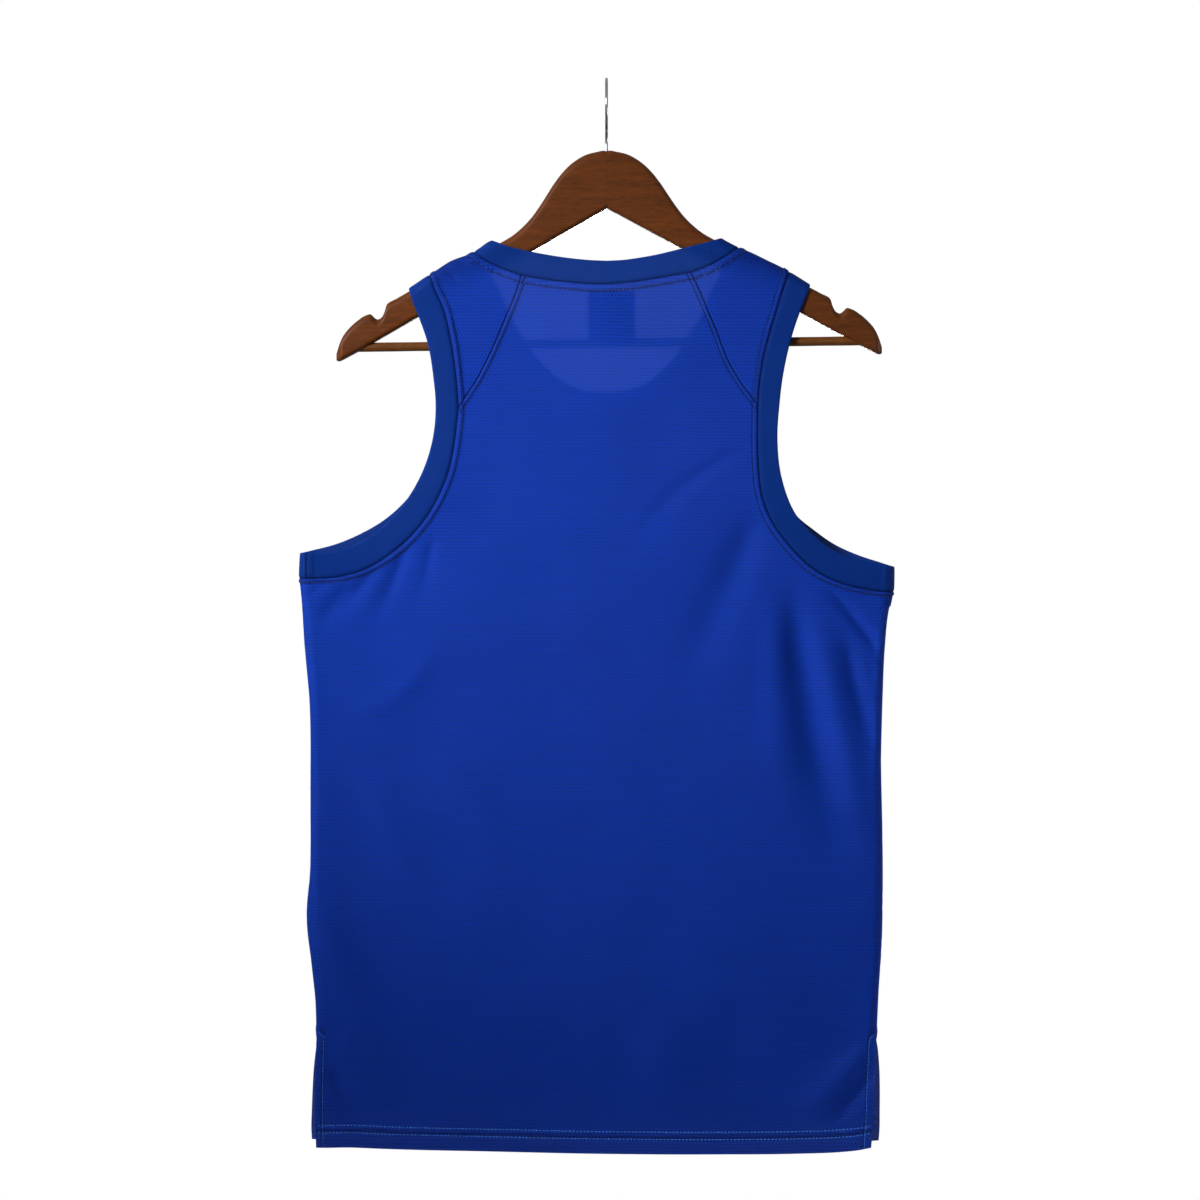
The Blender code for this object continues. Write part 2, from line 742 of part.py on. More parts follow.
def arm_section(top, bottom):
    """Return y and z round one upright cut through an arm, rounded over at both edges."""
    half = ARM_THICK / 2
    room = (top - bottom) * RIDGE_COS / 2
    high, low = min(ARM_TOP_ROUND, room * 0.98), min(ARM_UNDER_ROUND, room * 0.98)
    angles = np.radians(np.linspace(0, 90, 5))
    upper = [(half - high + high * math.sin(a), top - high * (1 - math.cos(a)) / RIDGE_COS) for a in angles]
    lower = [(half - low + low * math.sin(a), bottom + low * (1 - math.cos(a)) / RIDGE_COS) for a in angles]
    right = upper + lower[::-1]
    left = [(-y, z) for y, z in right[::-1]]
    return np.array(right + left)


def make_arm(side, name):
    """Make one arm of the hanger as a run of upright sections, with its end caps."""
    sections = []
    for out, top, bottom in ARM_ROWS:
        around = arm_section(top, bottom)
        x, z = tilt(np.full(len(around), side * out), around[:, 1])
        sections.append(np.stack((x, around[:, 0], z), axis=-1))
    count = len(sections[0])
    points = np.concatenate(sections)
    faces = [tuple(range(count)), tuple(range(len(points) - 1, len(points) - count - 1, -1))]
    for i in range(len(sections) - 1):
        for k in range(count):
            a, b = i * count + k, i * count + (k + 1) % count
            faces.append((b, a, a + count, b + count))
    return new_object(name, points, faces, WOOD_BROWN)


def tube(centres, radius, sides):
    """Return points and faces of a round rod along centres, which lie in one plane through X or in YZ."""
    centres = np.asarray(centres, dtype=float)
    along = np.gradient(centres, axis=0)
    along /= np.linalg.norm(along, axis=1, keepdims=True)
    flat = np.ptp(centres[:, 0]) < 1e-6
    square = np.array((1.0, 0.0, 0.0)) if flat else np.array((0.0, 1.0, 0.0))
    other = np.cross(along, square)
    turns = np.linspace(0, 2 * math.pi, sides, endpoint=False)
    rings = centres[:, None] + radius * (
        np.cos(turns)[None, :, None] * square + np.sin(turns)[None, :, None] * other[:, None]
    )
    faces = [tuple(range(sides)), tuple(range(len(centres) * sides - 1, (len(centres) - 1) * sides - 1, -1))]
    for i in range(len(centres) - 1):
        for k in range(sides):
            a, b = i * sides + k, i * sides + (k + 1) % sides
            faces.append((b, a, a + sides, b + sides))
    return rings.reshape(-1, 3), faces


def bar_ends():
    """Return the two ends of the bar's centre line."""
    x, z = tilt(np.array((-BAR_HALF, BAR_HALF)), np.full(2, BAR_DROP))
    return np.stack((x, np.zeros(2), z), axis=-1)


def hook_line():
    """Return the wire's centre line: up the shank, a small bend, then round the loop to the tip."""
    radius = HOOK_INNER_RADIUS + WIRE_RADIUS
    centre = -HOOK_INNER_RADIUS
    start = math.radians(HOOK_START)
    turn = start - math.pi
    bend = -radius * math.cos(start) / (1 - math.cos(turn))
    bend_low = centre + radius * math.sin(start) - bend * math.sin(turn)
    foot = HANGER_CENTRE[1] - SHANK_DEPTH
    line = [(0.0, 0.0, z) for z in np.linspace(foot, bend_low, 4)[:-1]]
    for a in np.linspace(0, turn, 6)[:-1]:
        line.append((0.0, -bend * (1 - math.cos(a)), bend_low + bend * math.sin(a)))
    for a in np.radians(np.linspace(HOOK_START, HOOK_END, 26)):
        line.append((0.0, radius * math.cos(a), centre + radius * math.sin(a)))
    return line


def cut(thing, cutter):
    """Take the cutter's shape out of thing."""
    cutter.hide_render = True
    cutter.display_type = "WIRE"
    modifier = thing.modifiers.new("hole", "BOOLEAN")
    modifier.operation = "DIFFERENCE"
    modifier.solver = "EXACT"
    modifier.object = cutter


def make_hanger():
    """Make the two arms, the bar between their undersides and the hook in their tops."""
    arms = [make_arm(-1, "hanger_arm_left"), make_arm(1, "hanger_arm_right")]
    ends = bar_ends()
    reach = (ends[1] - ends[0]) * BAR_FIT / (2 * BAR_HALF)
    new_object("hanger_bar", *tube(np.linspace(ends[0], ends[1], 3), BAR_RADIUS, BAR_SIDES), BAR_BROWN)
    hole = (ends[0] - reach, ends[1] + reach)
    bar_hole = new_object("bar_hole", *tube(np.linspace(*hole, 3), BAR_RADIUS + BAR_FIT, BAR_SIDES), BAR_BROWN)
    line = hook_line()
    new_object("hanger_hook", *tube(line, WIRE_RADIUS, WIRE_SIDES), WIRE_CHROME)
    deep = (0.0, 0.0, line[0][2] - SHANK_FIT)
    high = (0.0, 0.0, HANGER_CENTRE[1] + SHANK_DEPTH)
    shank_hole = new_object("shank_hole", *tube((deep, high), WIRE_RADIUS + SHANK_FIT, WIRE_SIDES), WIRE_CHROME)
    for arm in arms:
        cut(arm, bar_hole)
        cut(arm, shank_hole)


def main():
    """Clear the scene and make every piece."""
    for thing in list(bpy.data.objects):
        bpy.data.objects.remove(thing)
    panels = make_panels()
    shoulders = make_shoulders()
    make_arm_band(-1, "armhole_band_left", panels, shoulders)
    make_arm_band(1, "armhole_band_right", panels, shoulders)
    make_neck_band(panels, shoulders)
    make_label()
    make_hanger()


main()
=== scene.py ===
"""Looks of a sleeveless mesh-knit training top hung, back to the viewer, on a flat wooden hanger.

The tables are in millimetres, as the part's are, and every mesh is made in metres. +Z is up, the
cloth's back faces -Y, +X is to the viewer's right, and the origin is the inside top of the hook.
"""

import functools
import math

import bpy
import numpy as np
from bpy.props import FloatProperty, FloatVectorProperty, IntProperty, PointerProperty
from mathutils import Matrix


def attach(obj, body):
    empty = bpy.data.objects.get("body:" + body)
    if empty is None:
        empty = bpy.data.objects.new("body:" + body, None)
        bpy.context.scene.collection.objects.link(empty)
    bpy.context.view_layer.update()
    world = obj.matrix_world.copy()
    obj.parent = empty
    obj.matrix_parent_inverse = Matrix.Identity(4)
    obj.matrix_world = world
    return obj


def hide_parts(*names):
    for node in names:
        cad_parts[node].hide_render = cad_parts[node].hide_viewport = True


bl_info = {
    "name": "Hung Training Top",
    "version": (1, 0, 0),
    "blender": (4, 5, 0),
    "location": "View3D > Sidebar > Training Top",
    "description": "Builds a mesh-knit training top on a wooden hanger",
    "category": "Object",
}

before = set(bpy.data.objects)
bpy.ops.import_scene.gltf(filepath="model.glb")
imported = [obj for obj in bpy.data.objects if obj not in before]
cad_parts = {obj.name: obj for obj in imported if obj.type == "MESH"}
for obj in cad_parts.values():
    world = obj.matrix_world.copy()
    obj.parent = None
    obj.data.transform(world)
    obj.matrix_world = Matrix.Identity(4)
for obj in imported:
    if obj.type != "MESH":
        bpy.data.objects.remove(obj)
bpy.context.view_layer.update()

MM = 0.001

# How deep the hung cloth stands off the hanger's middle plane, mm
WRAP_RADIUS = 7.4
RIDGE_LIFT = 1.4
RIDGE_COS = 0.89
BELLY = {-1: 5.0, 1: 7.0}
BELLY_REACH = 150.0
BELLY_DROP = 260.0
# The least depth: over the hanger, and further down where nothing is inside, and where it changes
LEAST_DEPTH = (5.5, 1.4)
LEAST_DEPTH_ROWS = (-225.0, -300.0)
# The least depth round the arm, as a share of the full wrap
LEAST_WRAP = 0.76
# How far in from the side seams and down from the ridge the creases reach their full height
EASE_SIDE = 9.0
EASE_DROP = 120.0
# Shares of a crease's length over which it rises at its start and fades towards its end
CREASE_FADES = (0.24, 0.50)

# Hanger, mm
HANGER_CENTRE = (0.0, -55.8)
HANGER_TILT = math.radians(0.75)
ARM_THICK = 12.0
ARM_TOP_ROUND = 5.9
ARM_UNDER_ROUND = 3.5
BAR_RADIUS = 3.75
BAR_HALF = 209.0
BAR_DROP = -158.1
WIRE_RADIUS = 1.8
WIRE_SLIM = 0.66
HOOK_INNER_RADIUS = 20.0
HOOK_START = 250.0
HOOK_END = -15.0
SHANK_DEPTH = 18.0
# Edges sharper than this show as edges on the hanger, degrees
SOLID_CREASE = 60.0
# An arm's tip gets thinner: by what share, from what distance out, and over what length
TIP_THINNING = (0.55, 217.0, 5.0)
# The rounded edges keep to this share of the room there is
ROUND_ROOM = 0.98
ROUND_POINTS = 9
FLANK_POINTS = 7
# The grain is cut from another stretch of wood on the right arm, and leans across the faces
GRAIN_SHIFT = 400.0
GRAIN_LEAN = 0.8
# The bar's radius strays by small cosines: each one's share of it and the length of one radian, mm
BAR_STRAY = ((0.012, 17.0), (0.008, 5.3))
BAR_STATIONS = 120
BAR_SIDES = 32
HOOK_POINTS = 90
HOOK_SIDES = 24

# One arm of the hanger from the glue line to the tip: distance out, top edge, bottom edge
ARM_ROWS = (
    (0.02, -1.0, -47.4), (0.5, -0.8, -47.8), (9.0, -1.7, -52.6), (17.0, -3.8, -57.1), (24.5, -7.8, -61.3),
    (31.0, -12.8, -64.9), (37.0, -19.0, -68.3), (43.5, -27.5, -71.9), (50.0, -37.5, -75.5),
    (56.0, -46.5, -78.9), (62.0, -54.5, -82.2), (69.0, -61.8, -86.1), (77.0, -68.4, -90.6),
    (86.0, -73.8, -95.6), (97.0, -79.2, -101.8), (112.0, -85.8, -110.1), (128.0, -93.0, -119.1),
    (145.0, -102.2, -128.6), (163.7, -113.8, -139.0), (173.0, -119.0, -144.2), (180.5, -123.5, -148.4),
    (182.5, -129.5, -149.5), (184.8, -133.8, -150.8), (188.2, -135.6, -152.7), (191.3, -133.6, -154.4),
    (193.6, -131.3, -155.7), (198.0, -132.2, -158.2), (204.5, -136.3, -161.8), (211.0, -142.0, -165.2),
    (216.5, -148.8, -168.0), (220.0, -156.5, -169.4), (222.0, -163.0, -168.6),
)
# Where the cloth's ridge would run over the arms: distance out, height above the hanger's centre
RIDGE_ROWS = ((0.0, -24.0), (40.0, -47.0), (77.0, -67.5), (86.0, -73.3))
RIDGE_POINTS = 400
# Where the cloth stands up off the arms: place across, height and half width
RIDGE_HUMPS = (
    (-127.0, 2.4, 15.0), (-95.5, 3.3, 8.0), (92.5, 1.3, 8.0), (118.0, 1.0, 10.0), (141.0, 0.9, 9.0)
)

# Seams and edges of the back, x and z. Each left one runs the same way as its right one.
BACK_DIAGONAL = {
    -1: (
        (-69.1, -158.4), (-72.2, -169.0), (-81.5, -192.5), (-93.2, -219.5), (-103.3, -239.9),
        (-120.1, -265.9),
    ),
    1: ((69.1, -156.0), (79.8, -180.0), (89.8, -204.0), (100.6, -230.9), (110.5, -247.0), (123.0, -263.5)),
}
SHOULDER_ARM_SEAM = {
    -1: (
        (-143.7, -156.8), (-139.1, -170.7), (-133.6, -182.5), (-125.8, -213.8), (-122.4, -237.4),
        (-120.1, -265.9),
    ),
    1: (
        (148.2, -156.6), (144.2, -167.4), (140.0, -180.4), (135.6, -195.1), (131.5, -208.9),
        (127.9, -222.8), (125.3, -237.4), (123.5, -252.1), (123.0, -263.5),
    ),
}
BODY_ARM_SEAM = {
    -1: (
        (-120.1, -265.9), (-121.3, -277.5), (-122.7, -290.3), (-125.4, -306.9), (-128.8, -320.5),
        (-132.9, -331.2), (-139.0, -343.5), (-146.4, -355.7), (-153.2, -364.4), (-161.4, -373.3),
        (-172.2, -382.6), (-183.1, -390.4), (-196.7, -397.6), (-210.3, -401.9), (-221.1, -403.9),
        (-234.7, -404.8), (-249.6, -405.0),
    ),
    1: (
        (123.0, -263.5), (122.7, -275.7), (122.7, -302.8), (123.6, -320.5), (125.6, -335.4),
        (129.7, -349.0), (136.6, -362.6), (146.7, -376.1), (157.6, -388.3), (167.1, -396.5),
        (179.3, -404.0), (192.8, -409.4), (206.4, -412.8), (222.0, -415.2), (233.3, -415.9),
    ),
}
SIDE_SEAM = {
    -1: (
        (-249.6, -405.0), (-247.8, -422.3), (-245.5, -458.9), (-241.4, -503.7), (-240.6, -585.0),
        (-240.8, -640.0), (-243.6, -682.9), (-240.2, -715.0), (-236.6, -748.0), (-235.7, -775.7),
    ),
    1: (
        (233.3, -415.9), (230.0, -427.4), (226.0, -463.0), (224.3, -503.7), (223.1, -552.6),
        (224.2, -609.6), (224.4, -666.6), (223.6, -703.2), (221.2, -739.9), (219.5, -777.3),
    ),
}
BACK_VENT = {
    -1: ((-235.7, -775.7), (-236.6, -813.1), (-236.6, -845.7), (-235.7, -866.6)),
    1: ((219.5, -777.3), (217.8, -813.1), (216.6, -845.7), (214.8, -866.8)),
}
FRONT_VENT = {
    -1: (
        (-235.7, -775.7), (-237.2, -788.0), (-239.0, -804.0), (-240.0, -820.0), (-240.9, -840.0),
        (-241.3, -853.0), (-240.9, -862.9),
    ),
    1: (
        (219.5, -777.3), (221.2, -786.0), (222.3, -796.0), (223.0, -808.0), (223.3, -822.0),
        (223.3, -840.0), (223.2, -855.0), (222.6, -864.0),
    ),
}
BACK_HEM = (
    (-235.7, -866.8), (-231.0, -866.9), (-209.7, -866.6), (-181.2, -867.6), (-99.8, -869.4), (-5.3, -871.4),
    (90.0, -871.9), (157.6, -871.4), (190.0, -870.2), (206.0, -868.6), (214.8, -866.8),
)
FRONT_HEM = (
    (-240.9, -862.9), (-232.0, -863.4), (-120.0, -866.4), (0.0, -868.4), (120.0, -867.8), (213.0, -864.8),
    (222.6, -864.0),
)
# How far from the middle the back's diagonal seams leave the neck seam
DIAGONAL_X = 69.1
BACK_NECK_SEAM = (
    (-107.7, -138.8), (-96.7, -147.5), (-83.6, -153.2), (-69.1, -158.4), (-54.2, -161.2), (-33.2, -163.7),
    (-9.9, -165.6), (11.0, -164.9), (43.6, -160.5), (69.1, -156.0), (86.7, -149.0), (107.7, -138.8),
)
BACK_NECK_EDGE = (
    (-92.6, -132.0), (-85.9, -133.4), (-63.1, -138.9), (-22.4, -145.3), (1.6, -146.7), (37.9, -142.2),
    (68.0, -134.9), (92.6, -129.0),
)
# The front neckline from the right shoulder to the middle: band's seam and open edge
FRONT_NECK_SEAM = (
    (107.7, -138.8), (110.0, -158.0), (104.5, -176.0), (94.0, -200.0), (82.5, -221.0), (70.5, -236.5),
    (53.5, -252.5), (34.0, -264.5), (15.0, -270.5), (0.0, -272.0),
)
FRONT_NECK_EDGE = (
    (92.6, -129.0), (93.5, -144.0), (92.0, -158.5), (85.9, -170.0), (76.1, -192.6), (66.4, -208.9),
    (56.6, -223.6), (43.6, -237.4), (27.3, -248.8), (11.0, -252.6), (0.0, -253.2),
)
# Where the front's diagonal seams leave the neck seam, as a share of its length from the shoulder
FRONT_DIAGONAL_TOP = 0.21
FRONT_DIAGONAL_BEND = 5.0
# Open edge of each armhole band from the shoulder to the underarm, on the back
BAND_EDGE = {
    -1: (
        (-160.8, -169.0), (-157.6, -180.0), (-151.9, -194.3), (-146.2, -210.6), (-140.5, -243.1),
        (-138.8, -263.5), (-141.3, -292.0), (-153.9, -327.4), (-171.9, -352.8), (-190.1, -369.0),
        (-208.0, -378.7), (-230.0, -383.6), (-248.3, -383.8),
    ),
    1: (
        (165.7, -167.1), (161.0, -179.0), (154.3, -196.3), (147.8, -218.7), (142.9, -243.1),
        (140.5, -263.5), (138.8, -292.0), (142.6, -324.6), (154.6, -354.0), (166.0, -367.0),
        (178.3, -377.8), (194.2, -386.2), (212.0, -390.6), (233.7, -395.0),
    ),
}
# The same edge on the front from where it stands higher than the back's
FRONT_BAND_EDGE = {
    -1: (
        (-148.6, -314.0), (-157.6, -332.7), (-168.2, -345.3), (-182.0, -357.1), (-200.7, -368.1),
        (-221.1, -376.7), (-241.4, -382.0), (-248.3, -383.8),
    ),
    1: (
        (145.3, -333.1), (153.9, -351.4), (169.8, -365.3), (186.1, -376.7), (206.4, -385.9),
        (226.8, -392.6), (233.7, -395.0),
    ),
}
# The back's rows are kept down to this far above the first of those
EDGE_STEP = 8.0
# How much higher the front's armhole seam runs than the back's at most, and the power of the length's
# share that moves that place towards the underarm
FRONT_ARM_RISE = 5.5
FRONT_ARM_RISE_AT = 1.6

# Creases pressed into the hung cloth: height out (or in, below 0), half width at the start and at
# the end, and the line that each follows, x and z
BACK_CREASES = (
    (-3.4, 10.0, 26.0, ((126.6, -343.3), (107.1, -389.7), (77.8, -454.9), (39.5, -524.1))),
    (-5.0, 10.0, 16.0, ((149.4, -399.5), (160.0, -479.3), (173.9, -560.7), (195.0, -650.3))),
    (-2.6, 6.0, 9.0, ((191.8, -444.9), (208.1, -511.9), (224.3, -577.0))),
    (-4.0, 4.0, 4.0, ((226.0, -468.0), (202.4, -438.6), (176.0, -408.0))),
    (-0.7, 3.0, 3.0, ((211.3, -474.4), (221.1, -487.4))),
    (-1.1, 4.0, 8.0, ((116.9, -297.7), (76.1, -319.7), (39.5, -353.1), (12.6, -389.7))),
    (2.4, 8.0, 15.0, ((134.8, -412.3), (137.2, -503.7), (149.4, -625.9))),
    (2.4, 8.0, 11.0, ((171.0, -430.0), (187.0, -510.0), (206.0, -600.0), (212.0, -660.0))),
    (-1.8, 4.5, 7.0, ((-160.0, -372.0), (-176.3, -414.1), (-194.2, -450.0))),
    (-1.2, 4.0, 7.0, ((-139.0, -366.0), (-146.2, -401.9), (-150.0, -430.0))),
    (-1.8, 4.5, 7.0, ((-184.0, -392.0), (-207.2, -422.3), (-222.0, -446.0))),
    (-2.0, 5.0, 8.0, ((-207.0, -406.0), (-236.6, -448.3))),
    (-0.8, 3.0, 4.0, ((-232.0, -409.0), (-245.5, -425.5))),
    (-0.9, 4.0, 7.0, ((-128.8, -342.9), (-107.1, -347.4), (-86.7, -353.9))),
    (1.9, 8.0, 12.0, ((-142.1, -461.4), (-161.6, -493.9), (-191.0, -508.6), (-220.6, -504.5))),
    (3.4, 14.0, 22.0, ((-239.8, -640.3), (-212.9, -731.7), (-168.2, -841.6))),
    (1.9, 12.0, 14.0, ((-195.8, -556.6), (-164.1, -634.0), (-135.6, -686.9))),
    (1.5, 11.0, 15.0, ((-147.8, -548.5), (-107.1, -585.1), (-82.7, -670.6))),
    (0.6, 5.0, 5.0, ((-100.9, -686.1), (-68.8, -684.5))),
    (0.6, 5.0, 5.0, ((-20.1, -691.0), (11.0, -689.0), (42.1, -687.7))),
    (0.6, 5.0, 5.0, ((105.3, -689.4), (150.8, -686.9))),
    (-3.6, 6.0, 9.0, ((-228.2, -798.5), (-207.2, -829.7), (-176.2, -852.0))),
    (1.2, 7.0, 7.0, ((-203.2, -765.4), (-217.0, -796.8))),
    (2.4, 6.0, 12.0, ((217.8, -777.3), (183.6, -815.6), (150.5, -844.5))),
    (-2.0, 4.0, 7.0, ((221.0, -801.7), (196.7, -833.0), (172.5, -854.0))),
    (2.3, 16.0, 26.0, ((50.1, -754.3), (43.6, -805.0), (35.4, -853.0))),
    (-1.8, 16.0, 20.0, ((112.0, -735.0), (104.0, -800.0), (98.0, -856.0))),
)
FRONT_CREASES = (
    (-3.4, 9.0, 22.0, ((-128.0, -340.0), (-104.0, -398.0), (-70.0, -470.0), (-34.0, -540.0))),
    (-3.6, 8.0, 13.0, ((-152.0, -396.0), (-165.0, -490.0), (-182.0, -590.0), (-190.0, -664.0))),
    (2.2, 8.0, 13.0, ((-176.0, -420.0), (-196.0, -520.0), (-214.0, -622.0))),
    (-1.5, 4.0, 7.0, ((-190.0, -410.0), (-214.0, -446.0), (-230.0, -462.0))),
    (-3.1, 8.0, 15.0, ((158.0, -392.0), (172.0, -470.0), (188.0, -560.0))),
    (-1.8, 4.0, 8.0, ((184.0, -412.0), (204.0, -446.0), (220.0, -470.0))),
    (-1.4, 4.0, 6.0, ((138.0, -372.0), (118.0, -402.0), (92.0, -430.0))),
    (2.4, 12.0, 22.0, ((64.0, -360.0), (72.0, -470.0), (54.0, -580.0))),
    (3.2, 16.0, 22.0, ((96.0, -600.0), (118.0, -690.0), (130.0, -790.0), (136.0, -850.0))),
    (2.9, 14.0, 20.0, ((-62.0, -650.0), (-80.0, -760.0), (-88.0, -852.0))),
    (-2.4, 12.0, 16.0, ((20.0, -690.0), (26.0, -780.0), (18.0, -856.0))),
    (2.1, 6.0, 9.0, ((-232.0, -772.0), (-202.0, -816.0), (-166.0, -846.0))),
    (-2.2, 6.0, 10.0, ((212.0, -786.0), (188.0, -824.0), (158.0, -850.0))),
    (1.8, 7.0, 9.0, ((150.0, -455.0), (178.0, -486.0), (210.0, -492.0))),
)
CREASES = {-1: BACK_CREASES, 1: FRONT_CREASES}
# Short folds close below the ridge, on the back and on the front
RIDGE_FOLDS = {
    -1: (
        (-1.3, 1.7, 2.2, ((-123.8, -146.2), (-118.3, -149.0), (-111.8, -151.4))),
        (-1.5, 1.9, 2.8, ((-134.6, -154.3), (-127.0, -157.2), (-121.6, -160.8), (-117.6, -164.2))),
        (0.8, 1.8, 2.2, ((-117.5, -143.2), (-110.0, -147.2), (-104.0, -150.4))),
        (-1.1, 2.0, 2.6, ((111.2, -142.4), (119.6, -145.4), (129.0, -149.2))),
        (-0.8, 2.4, 3.2, ((108.6, -149.0), (117.4, -151.4), (131.0, -155.6))),
        (0.6, 2.2, 2.4, ((112.4, -146.4), (119.6, -148.8))),
    ),
    1: (
        (-1.2, 1.8, 2.4, ((-130.0, -152.6), (-121.0, -156.4), (-113.0, -161.6))),
        (-1.0, 2.0, 2.6, ((112.0, -143.6), (121.0, -147.8), (130.6, -153.6))),
    ),
}
# How far below the ridge those folds reach their full height, mm
RIDGE_FOLD_RISE = 7.0
# Painted shade where the cloth lies on the arm's top: how dark at most, and how far down it reaches, mm
RIDGE_SHADE = (0.62, 15.0)
# Slow unevenness of the whole cloth: how many waves, their height, and their lengths, mm
WAVE_COUNT = 14
WAVE_SEED = 20
WAVE_HEIGHT = 0.10
WAVE_LENGTHS = (34.0, 120.0)

# Where seam allowances and turned-in edges lie under the panels: reach from the edge, lift, both mm
NECK_STRIP = (6.6, 0.85)
ARM_STRIP = (5.6, 0.85)
DIAGONAL_STRIP = (4.6, 0.6)
VENT_STRIP = (7.0, 0.45)
HEM_STRIP = (18.8, 0.45)
STRIP_FADE = 1.1
# Painted shade at seams: how deep the cloth must be drawn in to get all of it, mm, and how dark that is
FULL_SHADE_DEPTH = 0.75
PAINTED_SHADE_DARKNESS = 0.66
# Painted shade on a band: its half width beside the seam, mm, and its even share on the inner skin
BAND_PAINTED_SHADE = (1.0, 0.12)
# How much narrower the armhole's strip gets towards the underarm, from which share of the seam, and
# over what share of it
UNDERARM_NARROWING = 0.3
NARROWING_START = 0.55
NARROWING_REACH = 0.35
# Stitch lines press a groove: depth and half width. They lie in from the strip's edge.
SEAM_ROLL = (0.75, 0.75)
NEEDLE_GROOVE = (0.80, 0.80)
NEEDLE_INSET = 0.9
HEM_NEEDLES = (18.0, 12.0)
# The hem's roll between its two rows of stitches and the fold under it: place, height, half width
HEM_ROLLS = ((16.2, 0.55, 1.5), (13.6, -0.55, 1.2), (7.0, 0.35, 4.0))
# Puckers between stitches: height and pitch, how much their pitch strays and over what length
GATHER = (0.13, 5.2)
GATHER_STRAY = (1.7, 23.0)
# Where across a strip the puckers are strongest, and their half width there, as shares of the strip
GATHER_PLACE = (0.6, 0.45)
# The grooves at the hem are this share of those at the seams
HEM_GROOVE = 0.6
# The thread along the hems and in the vents' bars is thicker by this
HEM_THREAD = 1.35
# Part of a panel's lift that shows on its inner skin too
INNER_LIFT = 0.2
# How far the short bars of thread stand off the cloth, for what is turned in under them
TACK_LIFT = 0.45
TACK_POINTS = 12
# Pitch of the bars' and the neck join's stitches, as a share of the seams'
TACK_PITCH = 0.5
JOIN_PITCH = 0.7
# Thickness of the neck band where its join is sewn, mm
JOIN_WALL = 1.6
# How many rows or columns at the ends of the hem and at the top of a diagonal have no stitch
HEM_SKIP = 4
DIAGONAL_SKIP = 8

# How finely the cloth is cut up: places across from each side edge, then even columns, mm
SIDE_REACH = (0.0, 0.11, 0.45, 0.99, 1.73, 2.64, 3.3, 3.8, 4.3, 4.8, 5.4, 6.1, 7.0, 8.2, 10.0)
MIDDLE_COLUMNS = 104
MIDDLE_CROWDING = 0.6
# The least step down between rows beside the underarm, how far before its corner the rows start to
# turn, over what length they do, and how often their headings are averaged
ROW_STEP = 0.35
CORNER_LEAD = 6.0
CORNER_TURN = 30.0
CORNER_ROUNDS = 12
# How far the neck's and the hem's curves reach into the rows of a panel
TOP_FADE = {-1: 40.0, 1: 300.0}
HEM_FADE = 90.0
# Points on the lines that the cloth's places are measured to: of a crease, a seam and a hem
CREASE_POINTS = 14
SEAM_POINTS = 90
HEM_POINTS = 60
# Steps round the arm, a shoulder panel's rows below it and its columns
WRAP_STEPS = 12
SHOULDER_ROWS = 74
SHOULDER_COLUMNS = 58
# From row to row along a band, mm, and how near the underarm its rows are four times closer
BAND_SPACING = 2.0
JOIN_REACH = 16.0
# Where the columns stand across a band, from its seam, 0, to its open edge, 1. The first is tucked under.
BAND_SHARES = (-0.07, 0.003, 0.008, 0.03, 0.07, 0.14, 0.26, 0.4, 0.54, 0.68, 0.8, 0.88, 0.94, 0.975, 1.0)
# How far under its neighbour a seam allowance starts and how thick it is, mm
UNDER = (0.75, 0.5)
ALLOWANCE = 1.3
ALLOWANCE_START = 0.04

LABEL_BOX = (-14.7, 23.2, -214.6, -171.5)
LABEL_GAP = 0.5
LABEL_CELLS = 26
# How far the label's low edge stands off, and its ripple: height, length of a radian, fade from the top
LABEL_SAG = 0.5
LABEL_RIPPLE = (0.15, 5.0, 30.0)
# The left armhole band's join on the back: place across, height, half width, depth of its groove
BAND_JOIN = (-243.6, 0.55, 3.6, 0.9)
# How its pads fade, how wide its groove is, how wide its painted shade is, and the height below which it lies
PAD_FADE = 3.4
JOIN_GROOVE = 0.75
JOIN_SHADE_WIDTH = 0.7
JOIN_TOP = -320.0
JOIN_FADE = 30.0
# A band's section: share of its wall at the seam, how soon it is full, and where its fold begins and
# how much of the square of its thickness is lost there
SEAM_WALL = 0.30
SEAM_FULL = 0.12
FOLD_START = 0.93
FOLD_LOSS = 0.93
# A join in the neck band, sewn through: x and z at the seam and at the open edge
NECK_JOIN = ((87.5, -148.9), (83.3, -137.6))
# Short bars of thread over the tops of the vents: x and z of both ends
VENT_BARS = (((-234.2, -773.6), (-228.6, -777.6)), ((218.2, -775.6), (213.4, -778.6)))

# Place, aim and width of each light, m, and the full angle of the key light's beam, degrees
KEY_LIGHT = ((-1.3, -1.2, 0.3), (0.01, 0.0, -0.315), 0.7)
KEY_SPREAD = 41.0
FILL_LIGHT = ((2.2, 0.3, -0.4), (0.22, 0.0, -0.45), 0.7)
BACK_LIGHT = ((0.12, 2.3, -0.22), (0.0, 0.0, -0.42), 0.35)
CAMERA_PLACE = (-0.0053, -3.0, -0.4223)
SENSOR_WIDTH = 36.0
# The floor's innermost and outermost ring, m, and how many rings and spokes it has
FLOOR_RADII = (0.02, 1.9)
FLOOR_CELLS = (12, 48)

# What every colour setting has
COLOUR = {"subtype": "COLOR", "size": 3, "min": 0, "max": 1}


